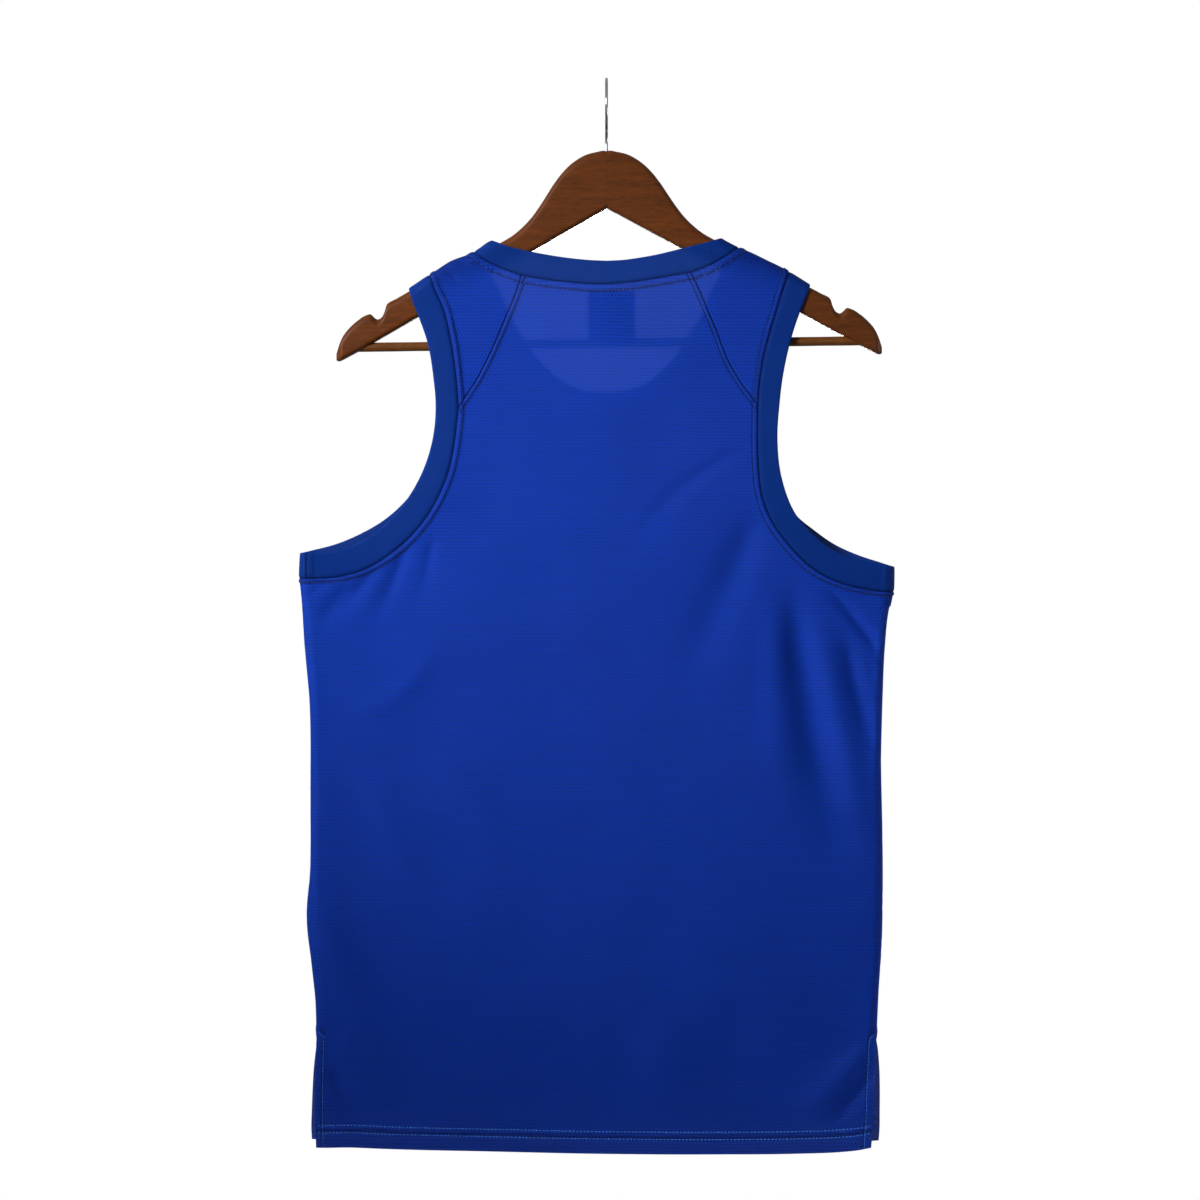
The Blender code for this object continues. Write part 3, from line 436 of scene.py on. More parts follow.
class TrainingTopCloth(bpy.types.PropertyGroup):
    """Sizes and colours of the cloth."""

    panel_wall: FloatProperty(
        name="Panel thickness", description="Thickness of the mesh knit", default=0.001, subtype="DISTANCE"
    )
    band_wall: FloatProperty(
        name="Band thickness", description="Thickness of the folded bands", default=0.002, subtype="DISTANCE"
    )
    label_wall: FloatProperty(
        name="Label thickness", description="Thickness of the neck label", default=0.0006, subtype="DISTANCE"
    )
    seam_gap: FloatProperty(
        name="Seam gap", description="Gap between pieces at a seam", default=0.0001, subtype="DISTANCE"
    )
    stitch_pitch: FloatProperty(
        name="Stitch pitch", description="From one stitch to the next", default=0.0030, subtype="DISTANCE"
    )
    stitch_radius: FloatProperty(
        name="Thread radius", description="Half the thread's width", default=0.00034, subtype="DISTANCE"
    )
    row_pitch: FloatProperty(
        name="Knit row pitch", description="From one knit row to the next", default=0.0027, subtype="DISTANCE"
    )
    eyelet_pitch: FloatProperty(
        name="Eyelet pitch", description="From one eyelet to the next in a row", default=0.0028,
        subtype="DISTANCE",
    )
    panel_colour: FloatVectorProperty(
        name="Panel colour", description="Colour of the mesh knit", **COLOUR,
        default=(0.0078, 0.0535, 0.485),
    )
    band_colour: FloatVectorProperty(
        name="Band colour", description="Colour of the smooth knit bands", **COLOUR,
        default=(0.0040, 0.038, 0.275),
    )
    # Painted shade: the seams' thread is darker than the cloth, for the shade in their grooves
    thread_colour_with_groove_shade: FloatVectorProperty(
        name="Thread colour", description="Colour of the sewing thread", **COLOUR,
        default=(0.0012, 0.018, 0.16),
    )
    hem_thread_colour: FloatVectorProperty(
        name="Hem thread colour", description="Colour of the thread at the hems", **COLOUR,
        default=(0.045, 0.26, 1.0),
    )
    label_colour: FloatVectorProperty(
        name="Label colour", description="Colour of the woven label", **COLOUR,
        default=(0.004, 0.010, 0.060),
    )


class TrainingTopHanger(bpy.types.PropertyGroup):
    """Colours and fineness of the hanger."""

    wood_colour: FloatVectorProperty(
        name="Wood colour", description="Stained arms", **COLOUR,
        default=(0.112, 0.0285, 0.0042),
    )
    bar_colour: FloatVectorProperty(
        name="Bar colour", description="Pale trouser bar", **COLOUR,
        default=(0.150, 0.052, 0.012),
    )
    wire_colour: FloatVectorProperty(
        name="Hook colour", description="Plated wire", **COLOUR,
        default=(0.34, 0.37, 0.41),
    )
    arm_stations: IntProperty(
        name="Sections along an arm", description="How many cuts each arm is made from", default=180, min=20
    )


class TrainingTopStage(bpy.types.PropertyGroup):
    """Light, floor and camera."""

    key_power: FloatProperty(
        name="Key light", description="Power of the large soft light", default=3.1, unit="POWER"
    )
    fill_power: FloatProperty(
        name="Fill light", description="Power of the light along the right edge", default=13.0, unit="POWER"
    )
    back_power: FloatProperty(
        name="Back light", description="Power of the light on the hidden side", default=32.0, unit="POWER"
    )
    sky_strength: FloatProperty(
        name="Room light", description="Strength of the even white surroundings", default=0.06, min=0
    )
    floor_colour: FloatVectorProperty(
        name="Floor colour", description="Pale floor", **COLOUR,
        default=(0.80, 0.80, 0.79),
    )
    floor_height: FloatProperty(
        name="Floor height", description="Height of the floor below the hook", default=-1.30,
        subtype="DISTANCE",
    )
    focal_length: FloatProperty(
        name="Focal length", description="Camera focal length in millimetres", default=110.5, min=10
    )


# Lines and the cloth's depth, in mm


def path(rows):
    """Return a function from shares of the length, 0 to 1, to points on a smooth line through rows.

    Between two rows it is the cubic that has their places and the line's slopes at both.
    """
    rows = np.asarray(rows, dtype=float)
    steps = np.linalg.norm(np.diff(rows, axis=0), axis=1)
    along = np.concatenate(([0.0], np.cumsum(steps)))
    slopes = np.gradient(rows, along, axis=0)

    def at(shares):
        distance = np.clip(np.asarray(shares, dtype=float), 0.0, 1.0) * along[-1]
        piece = np.clip(np.searchsorted(along, distance, side="right") - 1, 0, len(steps) - 1)
        step = steps[piece][:, None]
        t = (distance - along[piece])[:, None] / step
        near = (2 * t**3 - 3 * t**2 + 1) * rows[piece] + (t**3 - 2 * t**2 + t) * step * slopes[piece]
        far = (3 * t**2 - 2 * t**3) * rows[piece + 1] + (t**3 - t**2) * step * slopes[piece + 1]
        return near + far

    return at


def lengths(points):
    """Return the distance run along points up to each of them, over the first axis."""
    steps = np.linalg.norm(np.diff(points, axis=0), axis=-1)
    return np.concatenate((np.zeros((1,) + steps.shape[1:]), np.cumsum(steps, axis=0)))


def rows_run(grid):
    """Return the distance run along each row of a grid up to each of its points."""
    return lengths(grid.transpose(1, 0, 2)).T


def smooth(value):
    """Ease from 0 to 1 as value goes from 0 to 1: three squares less two cubes."""
    value = np.clip(value, 0.0, 1.0)
    return value * value * (3.0 - 2.0 * value)


def bump(distance, reach):
    """A soft hump: 1 at no distance, falling as e to the minus square of distance over reach."""
    return np.exp(-((distance / reach) ** 2))


def tilt(x, z):
    """Turn points of the plumb hanger to how it hangs, left arm a little lower."""
    cos, sin = math.cos(HANGER_TILT), math.sin(HANGER_TILT)
    return HANGER_CENTRE[0] + x * cos - z * sin, HANGER_CENTRE[1] + x * sin + z * cos


def ridge_line():
    """Return x and z of the line that the cloth's middle follows over both arms."""
    arm = [(out, top) for out, top, _ in ARM_ROWS if RIDGE_ROWS[-1][0] < out < BAR_HALF]
    half = np.array(RIDGE_ROWS + tuple(arm))
    both = np.concatenate((half[::-1] * (-1, 1), half[1:]))
    x, z = tilt(both[:, 0], both[:, 1])
    fine = np.linspace(x[0], x[-1], RIDGE_POINTS)
    z = np.interp(fine, x, z) + RIDGE_LIFT
    for place_on, height, reach in RIDGE_HUMPS:
        z += height * bump(fine - place_on, reach)
    return fine, z


RIDGE_X, RIDGE_Z = ridge_line()


def drop_below_ridge(xz):
    """Return how far points lie below the cloth's ridge, square to the arm."""
    return (np.interp(xz[..., 0], RIDGE_X, RIDGE_Z) - xz[..., 1]) * RIDGE_COS


def nearest_on(xz, line):
    """Return each point's distance to a line of straight pieces, and the share of its length there."""
    line = np.asarray(line, dtype=float)
    along = lengths(line)
    nearest = np.full(xz.shape[:-1], np.inf)
    where = np.zeros(xz.shape[:-1])
    for k in range(len(line) - 1):
        span = line[k + 1] - line[k]
        share = np.clip(((xz - line[k]) @ span) / (span @ span), 0.0, 1.0)
        away = np.linalg.norm(xz - line[k] - share[..., None] * span, axis=-1)
        where = np.where(away < nearest, (along[k] + share * (along[k + 1] - along[k])) / along[-1], where)
        nearest = np.minimum(nearest, away)
    return nearest, where


def joined_sides(xz):
    """Return the distance to the nearer side seam, where back and front meet."""
    sides = [nearest_on(xz, (BAND_EDGE[side][-1],) + SIDE_SEAM[side])[0] for side in (-1, 1)]
    return np.minimum(*sides)


def creases(xz, table):
    """Add up the creases of a table: across its line each is a soft hump whose half width grows along it, and
    its height rises quickly where it leaves the seam and fades slowly towards its other end."""
    total = np.zeros(xz.shape[:-1])
    for height, start, end, rows in table:
        away, share = nearest_on(xz, path(rows)(np.linspace(0, 1, CREASE_POINTS)))
        reach = start + (end - start) * share
        risen, faded = smooth(share / CREASE_FADES[0]), smooth((1 - share) / CREASE_FADES[1])
        total += height * risen * faded * bump(away, reach)
    return total


def slow_waves(xz, face):
    """Add up long weak cosine waves, each with its own seeded heading, length and start."""
    rng = np.random.default_rng(WAVE_SEED + face)
    total = np.zeros(xz.shape[:-1])
    for _ in range(WAVE_COUNT):
        heading = rng.uniform(0, math.pi)
        pitch = rng.uniform(*WAVE_LENGTHS)
        turn = rng.uniform(0, 2 * math.pi)
        run = xz[..., 0] * math.cos(heading) + xz[..., 1] * math.sin(heading)
        total += WAVE_HEIGHT * (pitch / WAVE_LENGTHS[1]) * np.cos(2 * math.pi * run / pitch + turn)
    return total


def depth(xz, face):
    """Return how far the cloth's middle stands from the hanger's plane. face is -1 back, 1 front.

    It goes round the arm in a quarter circle, hangs down a little further out, and comes back to
    nothing in another quarter circle at the side seams. Creases and waves are added in between.
    """
    drop = drop_below_ridge(xz)
    side = joined_sides(xz)
    wrap = WRAP_RADIUS * np.sqrt(1.0 - (1.0 - np.clip(drop / WRAP_RADIUS, 0.0, 1.0)) ** 2)
    tuck = np.sqrt(1.0 - (1.0 - np.clip(side / WRAP_RADIUS, 0.0, 1.0)) ** 2)
    loose = smooth(drop / BELLY_DROP)
    fullness = BELLY[face] * smooth(side / BELLY_REACH) * loose
    easing = smooth(side / EASE_SIDE) * smooth(drop / EASE_DROP)
    uneven = (creases(xz, CREASES[face]) + slow_waves(xz, face)) * easing
    uneven += creases(xz, RIDGE_FOLDS[face]) * smooth(drop / RIDGE_FOLD_RISE)
    top, bottom = LEAST_DEPTH_ROWS
    empty = smooth((top - xz[..., 1]) / (top - bottom))
    low = np.minimum(LEAST_WRAP * wrap, LEAST_DEPTH[0] + (LEAST_DEPTH[1] - LEAST_DEPTH[0]) * empty)
    return np.maximum(wrap + fullness + uneven, low) * tuck


def place(xz, face):
    """Return 3-D points for x and z on the back or the front."""
    return np.stack((xz[..., 0], face * depth(xz, face), xz[..., 1]), axis=-1)


def unit(vectors):
    """Return vectors at length one."""
    return vectors / np.maximum(np.linalg.norm(vectors, axis=-1, keepdims=True), 1e-9)


def outward_normals(grid, ring=False):
    """Return unit normals of a grid of points, away from the hanger's plane: the cross product of
    the steps down and across. ring says that the rows close on themselves."""
    if ring:
        down = np.roll(grid, -1, axis=0) - np.roll(grid, 1, axis=0)
    else:
        down = np.gradient(grid, axis=0)
    normal = unit(np.cross(down, np.gradient(grid, axis=1)))
    return normal * np.sign(np.sum(normal[..., 1] * grid[..., 1]))


def draw_in(grid, normal, edges, gap, ring=False):
    """Move the named edges of a grid in by half the seam gap, square to the edge."""
    moved = grid.copy()
    for edge in edges:
        at = (0 if edge.startswith("first") else -1, slice(None))
        inner = (1 if edge.startswith("first") else -2, slice(None))
        if not edge.endswith("row"):
            at, inner = at[::-1], inner[::-1]
        line = grid[at]
        along = np.roll(line, -1, axis=0) - np.roll(line, 1, axis=0) if ring else np.gradient(line, axis=0)
        inwards = unit(np.cross(normal[at], along))
        turned = np.sign(np.sum(inwards * (grid[inner] - line), axis=-1, keepdims=True))
        moved[at] += inwards * turned * gap / 2
    return moved


# The panels' outlines, in mm


def front_arm_seam(side):
    """Return the front's armhole seam: the back's, raised by a squared sine along its lower half."""
    rows = np.array(BODY_ARM_SEAM[side])
    share = lengths(rows) / lengths(rows)[-1]
    rows[:, 1] += FRONT_ARM_RISE * np.sin(math.pi * share**FRONT_ARM_RISE_AT) ** 2
    return rows


def front_band_edge(side):
    """Return the front's open armhole edge: the back's above, then its own higher line."""
    own = FRONT_BAND_EDGE[side]
    above = [row for row in BAND_EDGE[side] if row[1] > own[0][1] + EDGE_STEP]
    return np.array(above + list(own))


def front_diagonal(side):
    """Return the front's diagonal seam, from the neck seam down to the armhole seam."""
    start = path(FRONT_NECK_SEAM)([FRONT_DIAGONAL_TOP])[0] * (side, 1)
    end = np.array(BODY_ARM_SEAM[side][0])
    middle = (start + end) / 2 + (side * -FRONT_DIAGONAL_BEND, 0)
    return np.array((start, middle, end))


def panel_edges(side, face):
    """Return the rows of the four stretches down one side of a panel: diagonal, armhole, side, vent."""
    if face < 0:
        return BACK_DIAGONAL[side], BODY_ARM_SEAM[side], SIDE_SEAM[side], BACK_VENT[side]
    return front_diagonal(side), front_arm_seam(side), SIDE_SEAM[side], FRONT_VENT[side]


DIAGONAL_SHARES = np.concatenate((np.linspace(0, 0.08, 13), np.linspace(0.08, 1, 56)[1:]))
ARM_SHARES = np.linspace(0, 1, 82)[1:]
SIDE_SHARES = np.concatenate(((0.004, 0.01, 0.018, 0.03), np.linspace(0.045, 1, 84)))
VENT_SHARES = np.concatenate((np.linspace(0, 0.72, 22)[1:], np.linspace(0.72, 1, 33)[1:]))


def panel_side(side, face):
    """Return the points down one side of the back or front panel, top to hem."""
    shares = (DIAGONAL_SHARES, ARM_SHARES, SIDE_SHARES, VENT_SHARES)
    return np.concatenate([path(rows)(cut) for rows, cut in zip(panel_edges(side, face), shares)])


def stretches():
    """Return the panels' rows that lie along the diagonal, the armhole and the vent."""
    ends = np.cumsum([len(DIAGONAL_SHARES), len(ARM_SHARES), len(SIDE_SHARES), len(VENT_SHARES)])
    return slice(0, ends[0]), slice(ends[0] - 1, ends[1]), slice(ends[2] - 1, ends[3])


def neck_rows(face):
    """Return the rows of a panel's neck seam, left to right."""
    if face < 0:
        return np.array([row for row in BACK_NECK_SEAM if abs(row[0]) <= DIAGONAL_X])
    right = path(FRONT_NECK_SEAM)(np.linspace(FRONT_DIAGONAL_TOP, 1, 16))
    return np.concatenate((right * (-1, 1), right[-2::-1]))


def crowded(share):
    """Bunch even shares towards both ends: each less a sine of one full turn along them."""
    return share - MIDDLE_CROWDING * np.sin(2 * math.pi * share) / (2 * math.pi)


def across_shares(length):
    """Return where the columns stand on a line of that length: close at both ends, wide between."""
    near = np.array(SIDE_REACH) / length
    middle = near[-1] + (1 - 2 * near[-1]) * crowded(np.linspace(0, 1, MIDDLE_COLUMNS))
    return np.concatenate((near[:-1], middle, 1 - near[-2::-1]))


def blur(values, rounds):
    """Smooth values down the first axis, with the ends held: a repeated average of neighbours."""
    for _ in range(rounds):
        held = np.concatenate((values[:1], values, values[-1:]))
        values = (held[:-2] + 2 * held[1:-1] + held[2:]) / 4
    return values


def side_layer(side, line, corner):
    """Return points in from a side edge by each reach, square to the edge.

    Below the underarm corner the direction eases from the armhole's to the side seam's, and the
    innermost points are kept in order down the panel, so that no two rows cross.
    """
    run = lengths(line)
    along = np.gradient(line, run, axis=0)
    inwards = np.stack((-along[:, 1], along[:, 0]), axis=-1) * -side
    share = smooth((run - run[corner] + CORNER_LEAD) / CORNER_TURN)[:, None]
    before = inwards[corner - 3]
    above = np.arange(len(line))[:, None] < corner - 2
    turned = np.where(above, inwards, before * (1 - share) + inwards * share)
    turned = unit(blur(turned, CORNER_ROUNDS))
    far = line + turned * SIDE_REACH[-1]
    count = np.arange(len(line)) * ROW_STEP
    far[:, 1] = np.minimum.accumulate(far[:, 1] + count) - count
    return line[:, None] + (far - line)[:, None] * (np.array(SIDE_REACH) / SIDE_REACH[-1])[None, :, None]


def panel_flat(face):
    """Return x and z over the back or front panel, a row for each point down its sides.

    Near a side the columns are offsets of its edge, and between them each row runs straight. The
    neck's curve is added at the top and the hem's at the bottom, and both fade with the way down.
    """
    left, right = panel_side(-1, face), panel_side(1, face)
    corner = stretches()[1].stop - 1
    near, far = side_layer(-1, left, corner), side_layer(1, right, corner)[:, ::-1]
    across = crowded(np.linspace(0, 1, MIDDLE_COLUMNS))[None, 1:-1, None]
    middle = near[:, -1:] * (1 - across) + far[:, :1] * across
    grid = np.concatenate((near, middle, far), axis=1)
    neck = path(neck_rows(face))
    top = neck(across_shares(lengths(neck(np.linspace(0, 1, 200)))[-1]))
    hem = path(BACK_HEM if face < 0 else FRONT_HEM)
    low = hem(across_shares(lengths(hem(np.linspace(0, 1, 200)))[-1]))
    run = lengths((left + right) / 2)[:, None, None]
    grid = grid + (top - grid[0]) * (1 - smooth(run / TOP_FADE[face]))
    return grid + (low - grid[-1]) * smooth(1 - (run[-1] - run) / HEM_FADE)


def both_skins(wall, relief):
    """Return how far a panel's outer and inner skin stand from its middle surface."""
    return wall / 2 + relief, wall / 2 + np.maximum(relief, 0) * INNER_LIFT


def strip(distance, strip_size, share=0.0):
    """The lift of a turned-in edge: full up to its reach, then eased to nothing.

    share is how far along an armhole a point lies, where the strip narrows towards the underarm.
    """
    reach, lift = strip_size
    return lift * (1 - smooth((distance - reach * narrowing(share) + STRIP_FADE / 2) / STRIP_FADE))


def narrowing(share):
    """Return the armhole strip's width as a share of its full width, by the place along the seam."""
    return 1 - UNDERARM_NARROWING * smooth((np.asarray(share) - NARROWING_START) / NARROWING_REACH)


def seam_dip(distance):
    """The cloth rolls down into a seam: a soft hump taken away beside it."""
    deep, reach = SEAM_ROLL
    return -deep * bump(distance, reach)


def groove(distance, at):
    """A row of stitches pulls the cloth in: a narrow hump taken away at its distance from the edge."""
    deep, reach = NEEDLE_GROOVE
    return -deep * bump(distance - at, reach)


def gathered(share, length, distance, reach):
    """The small puckers between stitches: a cosine along the seam, strongest at the needle's line."""
    height, pitch = GATHER
    stray, stray_length = GATHER_STRAY
    wobble = np.cos(2 * math.pi * share * length / pitch + stray * np.sin(share * length / stray_length))
    at, width = GATHER_PLACE
    return height * wobble * bump(distance - reach * at, reach * width)


def panel_relief(flat, face):
    """Return how far a panel's outer skin is lifted by what is turned in or sewn under it, how far
    it is drawn in by seams and stitches, and the painted shade along them."""
    lifts, cuts = [], []
    lines = [(neck_rows(face), NECK_STRIP, True, False)]
    for side in (-1, 1):
        diagonal, arm, _, vent = panel_edges(side, face)
        lines += [
            (diagonal, DIAGONAL_STRIP, True, False),
            (arm, ARM_STRIP, True, True),
            (vent, VENT_STRIP, False, False),
        ]
    for rows, size, seamed, narrows in lines:
        fine = path(rows)(np.linspace(0, 1, SEAM_POINTS))
        away, share = nearest_on(flat, fine)
        slim = share if narrows else 0.0
        lifts.append(strip(away, size, slim) + gathered(share, lengths(fine)[-1], away, size[0]))
        cuts.append(groove(away, (size[0] - NEEDLE_INSET) * narrowing(slim)))
        if seamed:
            cuts.append(seam_dip(away))
    hem = path(BACK_HEM if face < 0 else FRONT_HEM)
    away, _ = nearest_on(flat, hem(np.linspace(0, 1, HEM_POINTS)))
    lifts.append(strip(away, HEM_STRIP))
    cuts += [height * bump(away - at, reach) for at, height, reach in HEM_ROLLS]
    cuts += [groove(away, needle) * HEM_GROOVE for needle in HEM_NEEDLES]
    cuts = np.sum(cuts, axis=0)
    return np.max(lifts, axis=0) + cuts, painted_seam_shade(cuts)


def painted_seam_shade(cuts):
    """Return the painted shade along seams and stitches, from 0 to 1, by how far the cloth is drawn in there.
    """
    return np.clip(-cuts / FULL_SHADE_DEPTH, 0.0, 1.0)


@functools.lru_cache(maxsize=None)
def panel_form(face):
    """Return the back or front panel's middle surface, outward normals, relief and painted shade."""
    flat = panel_flat(face)
    grid = place(flat, face)
    return grid, outward_normals(grid), *panel_relief(flat, face)


# The shoulder panels, in mm


def shares_at_drops(line, drops):
    """Return where along a line it has fallen by each drop below the ridge."""
    shares = np.linspace(0, 1, 1200)
    fallen = np.maximum.accumulate(drop_below_ridge(line(shares)))
    return np.interp(drops, fallen, shares)


def wrap_shares(line, below):
    """Return shares down a line that starts on the ridge: even steps of angle while it goes round
    the arm, then even steps of length."""
    drops = WRAP_RADIUS * (1 - np.cos(np.linspace(0, math.pi / 2, WRAP_STEPS + 1)))
    shares = shares_at_drops(line, drops)
    shares[0] = 0.0
    return np.concatenate((shares, np.linspace(shares[-1], 1.0, below + 1)[1:]))


def on_ridge(rows):
    """Return rows with the first one moved onto the ridge line."""
    rows = np.array(rows, dtype=float)
    rows[0, 1] = np.interp(rows[0, 0], RIDGE_X, RIDGE_Z)
    return rows


def shoulder_neck_line(side, face):
    """Return the neck edge of a shoulder panel on one face, from the ridge down."""
    if face > 0:
        return path(on_ridge(path(FRONT_NECK_SEAM)(np.linspace(0, FRONT_DIAGONAL_TOP, 5)) * (side, 1)))
    rows = [row for row in BACK_NECK_SEAM if row[0] * side >= DIAGONAL_X]
    return path(on_ridge(rows[::-side]))


def shoulder_half(side, face):
    """Return x and z of a shoulder panel on one face.

    Rows run straight from the neck seam to the armhole seam, from the ridge down, and the last one
    follows the diagonal seam.
    """
    neck = shoulder_neck_line(side, face)
    arm = path(on_ridge(SHOULDER_ARM_SEAM[side]))
    neck_points = neck(wrap_shares(neck, SHOULDER_ROWS))
    arm_points = arm(wrap_shares(arm, SHOULDER_ROWS))
    across = np.linspace(0, 1, SHOULDER_COLUMNS)
    low = path(BACK_DIAGONAL[side] if face < 0 else front_diagonal(side))(across)
    neck_points[-1], arm_points[-1] = low[0], low[-1]
    grid = neck_points[:, None] * (1 - across[None, :, None]) + arm_points[:, None] * across[None, :, None]
    down = np.linspace(0, 1, len(neck_points))[:, None, None]
    grid = grid + (low - grid[-1]) * down
    grid[0, :, 1] = np.interp(grid[0, :, 0], RIDGE_X, RIDGE_Z)
    return grid


@functools.lru_cache(maxsize=None)
def shoulder_form(side):
    """Return a shoulder panel's middle surface over the arm, outward normals, relief and painted shade.

    The relief is a strip along the neck and the armhole, by the distance run along each row.
    """
    grid = np.concatenate((place(shoulder_half(side, -1), -1)[::-1], place(shoulder_half(side, 1), 1)[1:]))
    run = rows_run(grid)
    down = lengths(grid)
    lean = seam_lean(grid)
    from_neck, from_arm = run * lean[0][:, None], (run[:, -1:] - run) * lean[1][:, None]
    to_diagonal = np.minimum(down, down[-1:] - down)
    lifts = [strip(from_neck, NECK_STRIP), strip(from_arm, ARM_STRIP)]
    lifts[0] += gathered(down / down[-1:], down[-1:], from_neck, NECK_STRIP[0])
    lifts[1] += gathered(down / down[-1:], down[-1:], from_arm, ARM_STRIP[0])
    cuts = seam_dip(from_neck) + seam_dip(from_arm) + seam_dip(to_diagonal)
    cuts += groove(from_neck, NECK_STRIP[0] - NEEDLE_INSET) + groove(from_arm, ARM_STRIP[0] - NEEDLE_INSET)
    # Painted shade: darker where the cloth lies on the arm's top, and along its seams and stitches
    dark, reach = RIDGE_SHADE
    shaded = dark * bump(np.maximum(drop_below_ridge(grid[..., (0, 2)]), 0.0), reach)
    wire_marks_and_painted_shade = np.maximum(painted_seam_shade(cuts), shaded)
    return grid, outward_normals(grid), np.max(lifts, axis=0) + cuts, wire_marks_and_painted_shade


def seam_lean(grid):
    """Return the sine of the angle between a grid's rows and each of its two side edges, by row."""
    found = []
    for edge, inner in ((0, 1), (-1, -2)):
        along = np.gradient(grid[:, edge], axis=0)
        step = grid[:, inner] - grid[:, edge]
        cross = np.linalg.norm(np.cross(along, step), axis=1)
        found.append(cross / np.maximum(np.linalg.norm(along, axis=1) * np.linalg.norm(step, axis=1), 1e-9))
    return [blur(lean, 6) for lean in found]


# The bands, in mm


def even_run(line, spacing, fine_end=0.0):
    """Return points on a line at about that spacing, and four times closer over the last fine_end."""
    run = lengths(line(np.linspace(0, 1, 300)))[-1]
    turn = 1 - fine_end / run
    shares = np.linspace(0, turn, max(int(run * turn / spacing), 2) + 1)
    if fine_end:
        shares = np.concatenate((shares, np.linspace(turn, 1, int(4 * fine_end / spacing) + 1)[1:]))
    return line(shares)


def band_half(seam, edge_rows, face):
    """Return x and z of half a band, from the ridge on: rows along it, columns from seam to edge.

    Each row joins the seam and the open edge at the same share of their lengths below the arm.
    """
    along = lengths(seam)
    edge = path(on_ridge(edge_rows))
    start = wrap_shares(edge, 1)[: WRAP_STEPS + 1]
    left = (along[WRAP_STEPS:] - along[WRAP_STEPS]) / (along[-1] - along[WRAP_STEPS])
    outer = edge(np.concatenate((start, start[-1] + (1 - start[-1]) * left[1:])))
    across = np.array(BAND_SHARES)[None, :, None]
    flat = seam[:, None] * (1 - across) + outer[:, None] * across
    flat[0, :, 1] = np.interp(flat[0, :, 0], RIDGE_X, RIDGE_Z)
    return place(flat, face)


def seam_below(line, rest, spacing, fine_end=0.0):
    """Return seam points: round the arm in even angles, then down the line and on along the rest."""
    shares = wrap_shares(line, 1)[: WRAP_STEPS + 1]
    tail = path(line(np.linspace(shares[-1], 1, 12)))
    return np.concatenate((line(shares), even_run(tail, spacing)[1:], even_run(rest, spacing, fine_end)[1:]))


@functools.lru_cache(maxsize=None)
def arm_band_ring(side):
    """Return the middle surface of an armhole band, a closed ring over the shoulder and under the arm."""
    halves = {}
    for face in (-1, 1):
        body = BODY_ARM_SEAM[side] if face < 0 else front_arm_seam(side)
        seam = seam_below(path(on_ridge(SHOULDER_ARM_SEAM[side])), path(body), BAND_SPACING, JOIN_REACH)
        edge = BAND_EDGE[side] if face < 0 else front_band_edge(side)
        halves[face] = band_half(seam, edge, face)
    return np.concatenate((halves[-1], halves[1][-2:0:-1]))


def back_neck_edge(side, middle):
    """Return the back neck's open edge from one shoulder to the middle of the seam's points."""
    points = path(BACK_NECK_EDGE)(np.linspace(0, 1, 61))
    stop = int(np.argmin(np.abs(points[:, 0] - middle[0])))
    half = points[: stop + 1] if side < 0 else points[stop:][::-1]
    return half[np.linspace(0, len(half) - 1, 8).round().astype(int)]


@functools.lru_cache(maxsize=None)
def neck_band_ring():
    """Return the middle surface of the neck band: across the back, over both shoulders, round the front."""
    quarters = []
    for side, face in ((1, -1), (1, 1), (-1, 1), (-1, -1)):
        whole = path(neck_rows(face))(np.linspace(0, 1, 41))
        half = whole[20:][::-1] if side > 0 else whole[:21]
        seam = seam_below(shoulder_neck_line(side, face), path(half), BAND_SPACING)
        edge = np.array(FRONT_NECK_EDGE) * (side, 1) if face > 0 else back_neck_edge(side, seam[-1])
        quarters.append(band_half(seam, edge, face))
    back_right, front_right, front_left, back_left = quarters
    return np.concatenate((back_right[::-1], front_right[1:], front_left[-2::-1], back_left[1:-1]))


def band_section(ring):
    """Return a band's thickness as a share of half its wall, for the outer and the inner skin.

    It is a flattened half ellipse: thin where it enters the seam, full over the middle and rounded
    off at the fold. A slow wave along it gives each side a little unevenness.
    """
    share = np.maximum(np.array(BAND_SHARES), 0.0)
    seam_end = SEAM_WALL + (1 - SEAM_WALL) * smooth(share / SEAM_FULL)
    folded = np.clip((share - FOLD_START) / (1 - FOLD_START), 0, 1)
    fold_end = np.sqrt(np.clip(1 - folded**2 * FOLD_LOSS, 0, 1))
    profile = (seam_end * fold_end)[None]
    turn = np.linspace(0, 2 * math.pi, len(ring), endpoint=False)[:, None]
    uneven = 0.10 * np.cos(17 * turn) * np.sin(5 * turn + 1) + 0.05 * np.cos(41 * turn + 2)
    middle = smooth(share / 0.3) * smooth((1 - share) / 0.3)
    return profile + uneven * middle, np.broadcast_to(profile, (len(ring), len(share))).copy()


def join_relief(ring):
    """Return the lift over the left band's join: two flat pads with a groove between them."""
    at, height, reach, deep = BAND_JOIN
    across = np.abs(ring[..., 0] - at)
    pads = height * (1 - smooth((across - reach) / PAD_FADE))
    edge = smooth(np.array(BAND_SHARES) / 0.1)[None]
    low = smooth((JOIN_TOP - ring[..., 2]) / JOIN_FADE)
    return (pads - deep * bump(across, JOIN_GROOVE)) * (ring[..., 1] < 0) * edge * low


def join_painted_shade(ring):
    """Return the painted shade of the left band's join: a narrow hump on its groove."""
    return bump(ring[..., 0] - BAND_JOIN[0], JOIN_SHADE_WIDTH) * (ring[..., 1] < 0) * (ring[..., 2] < JOIN_TOP)


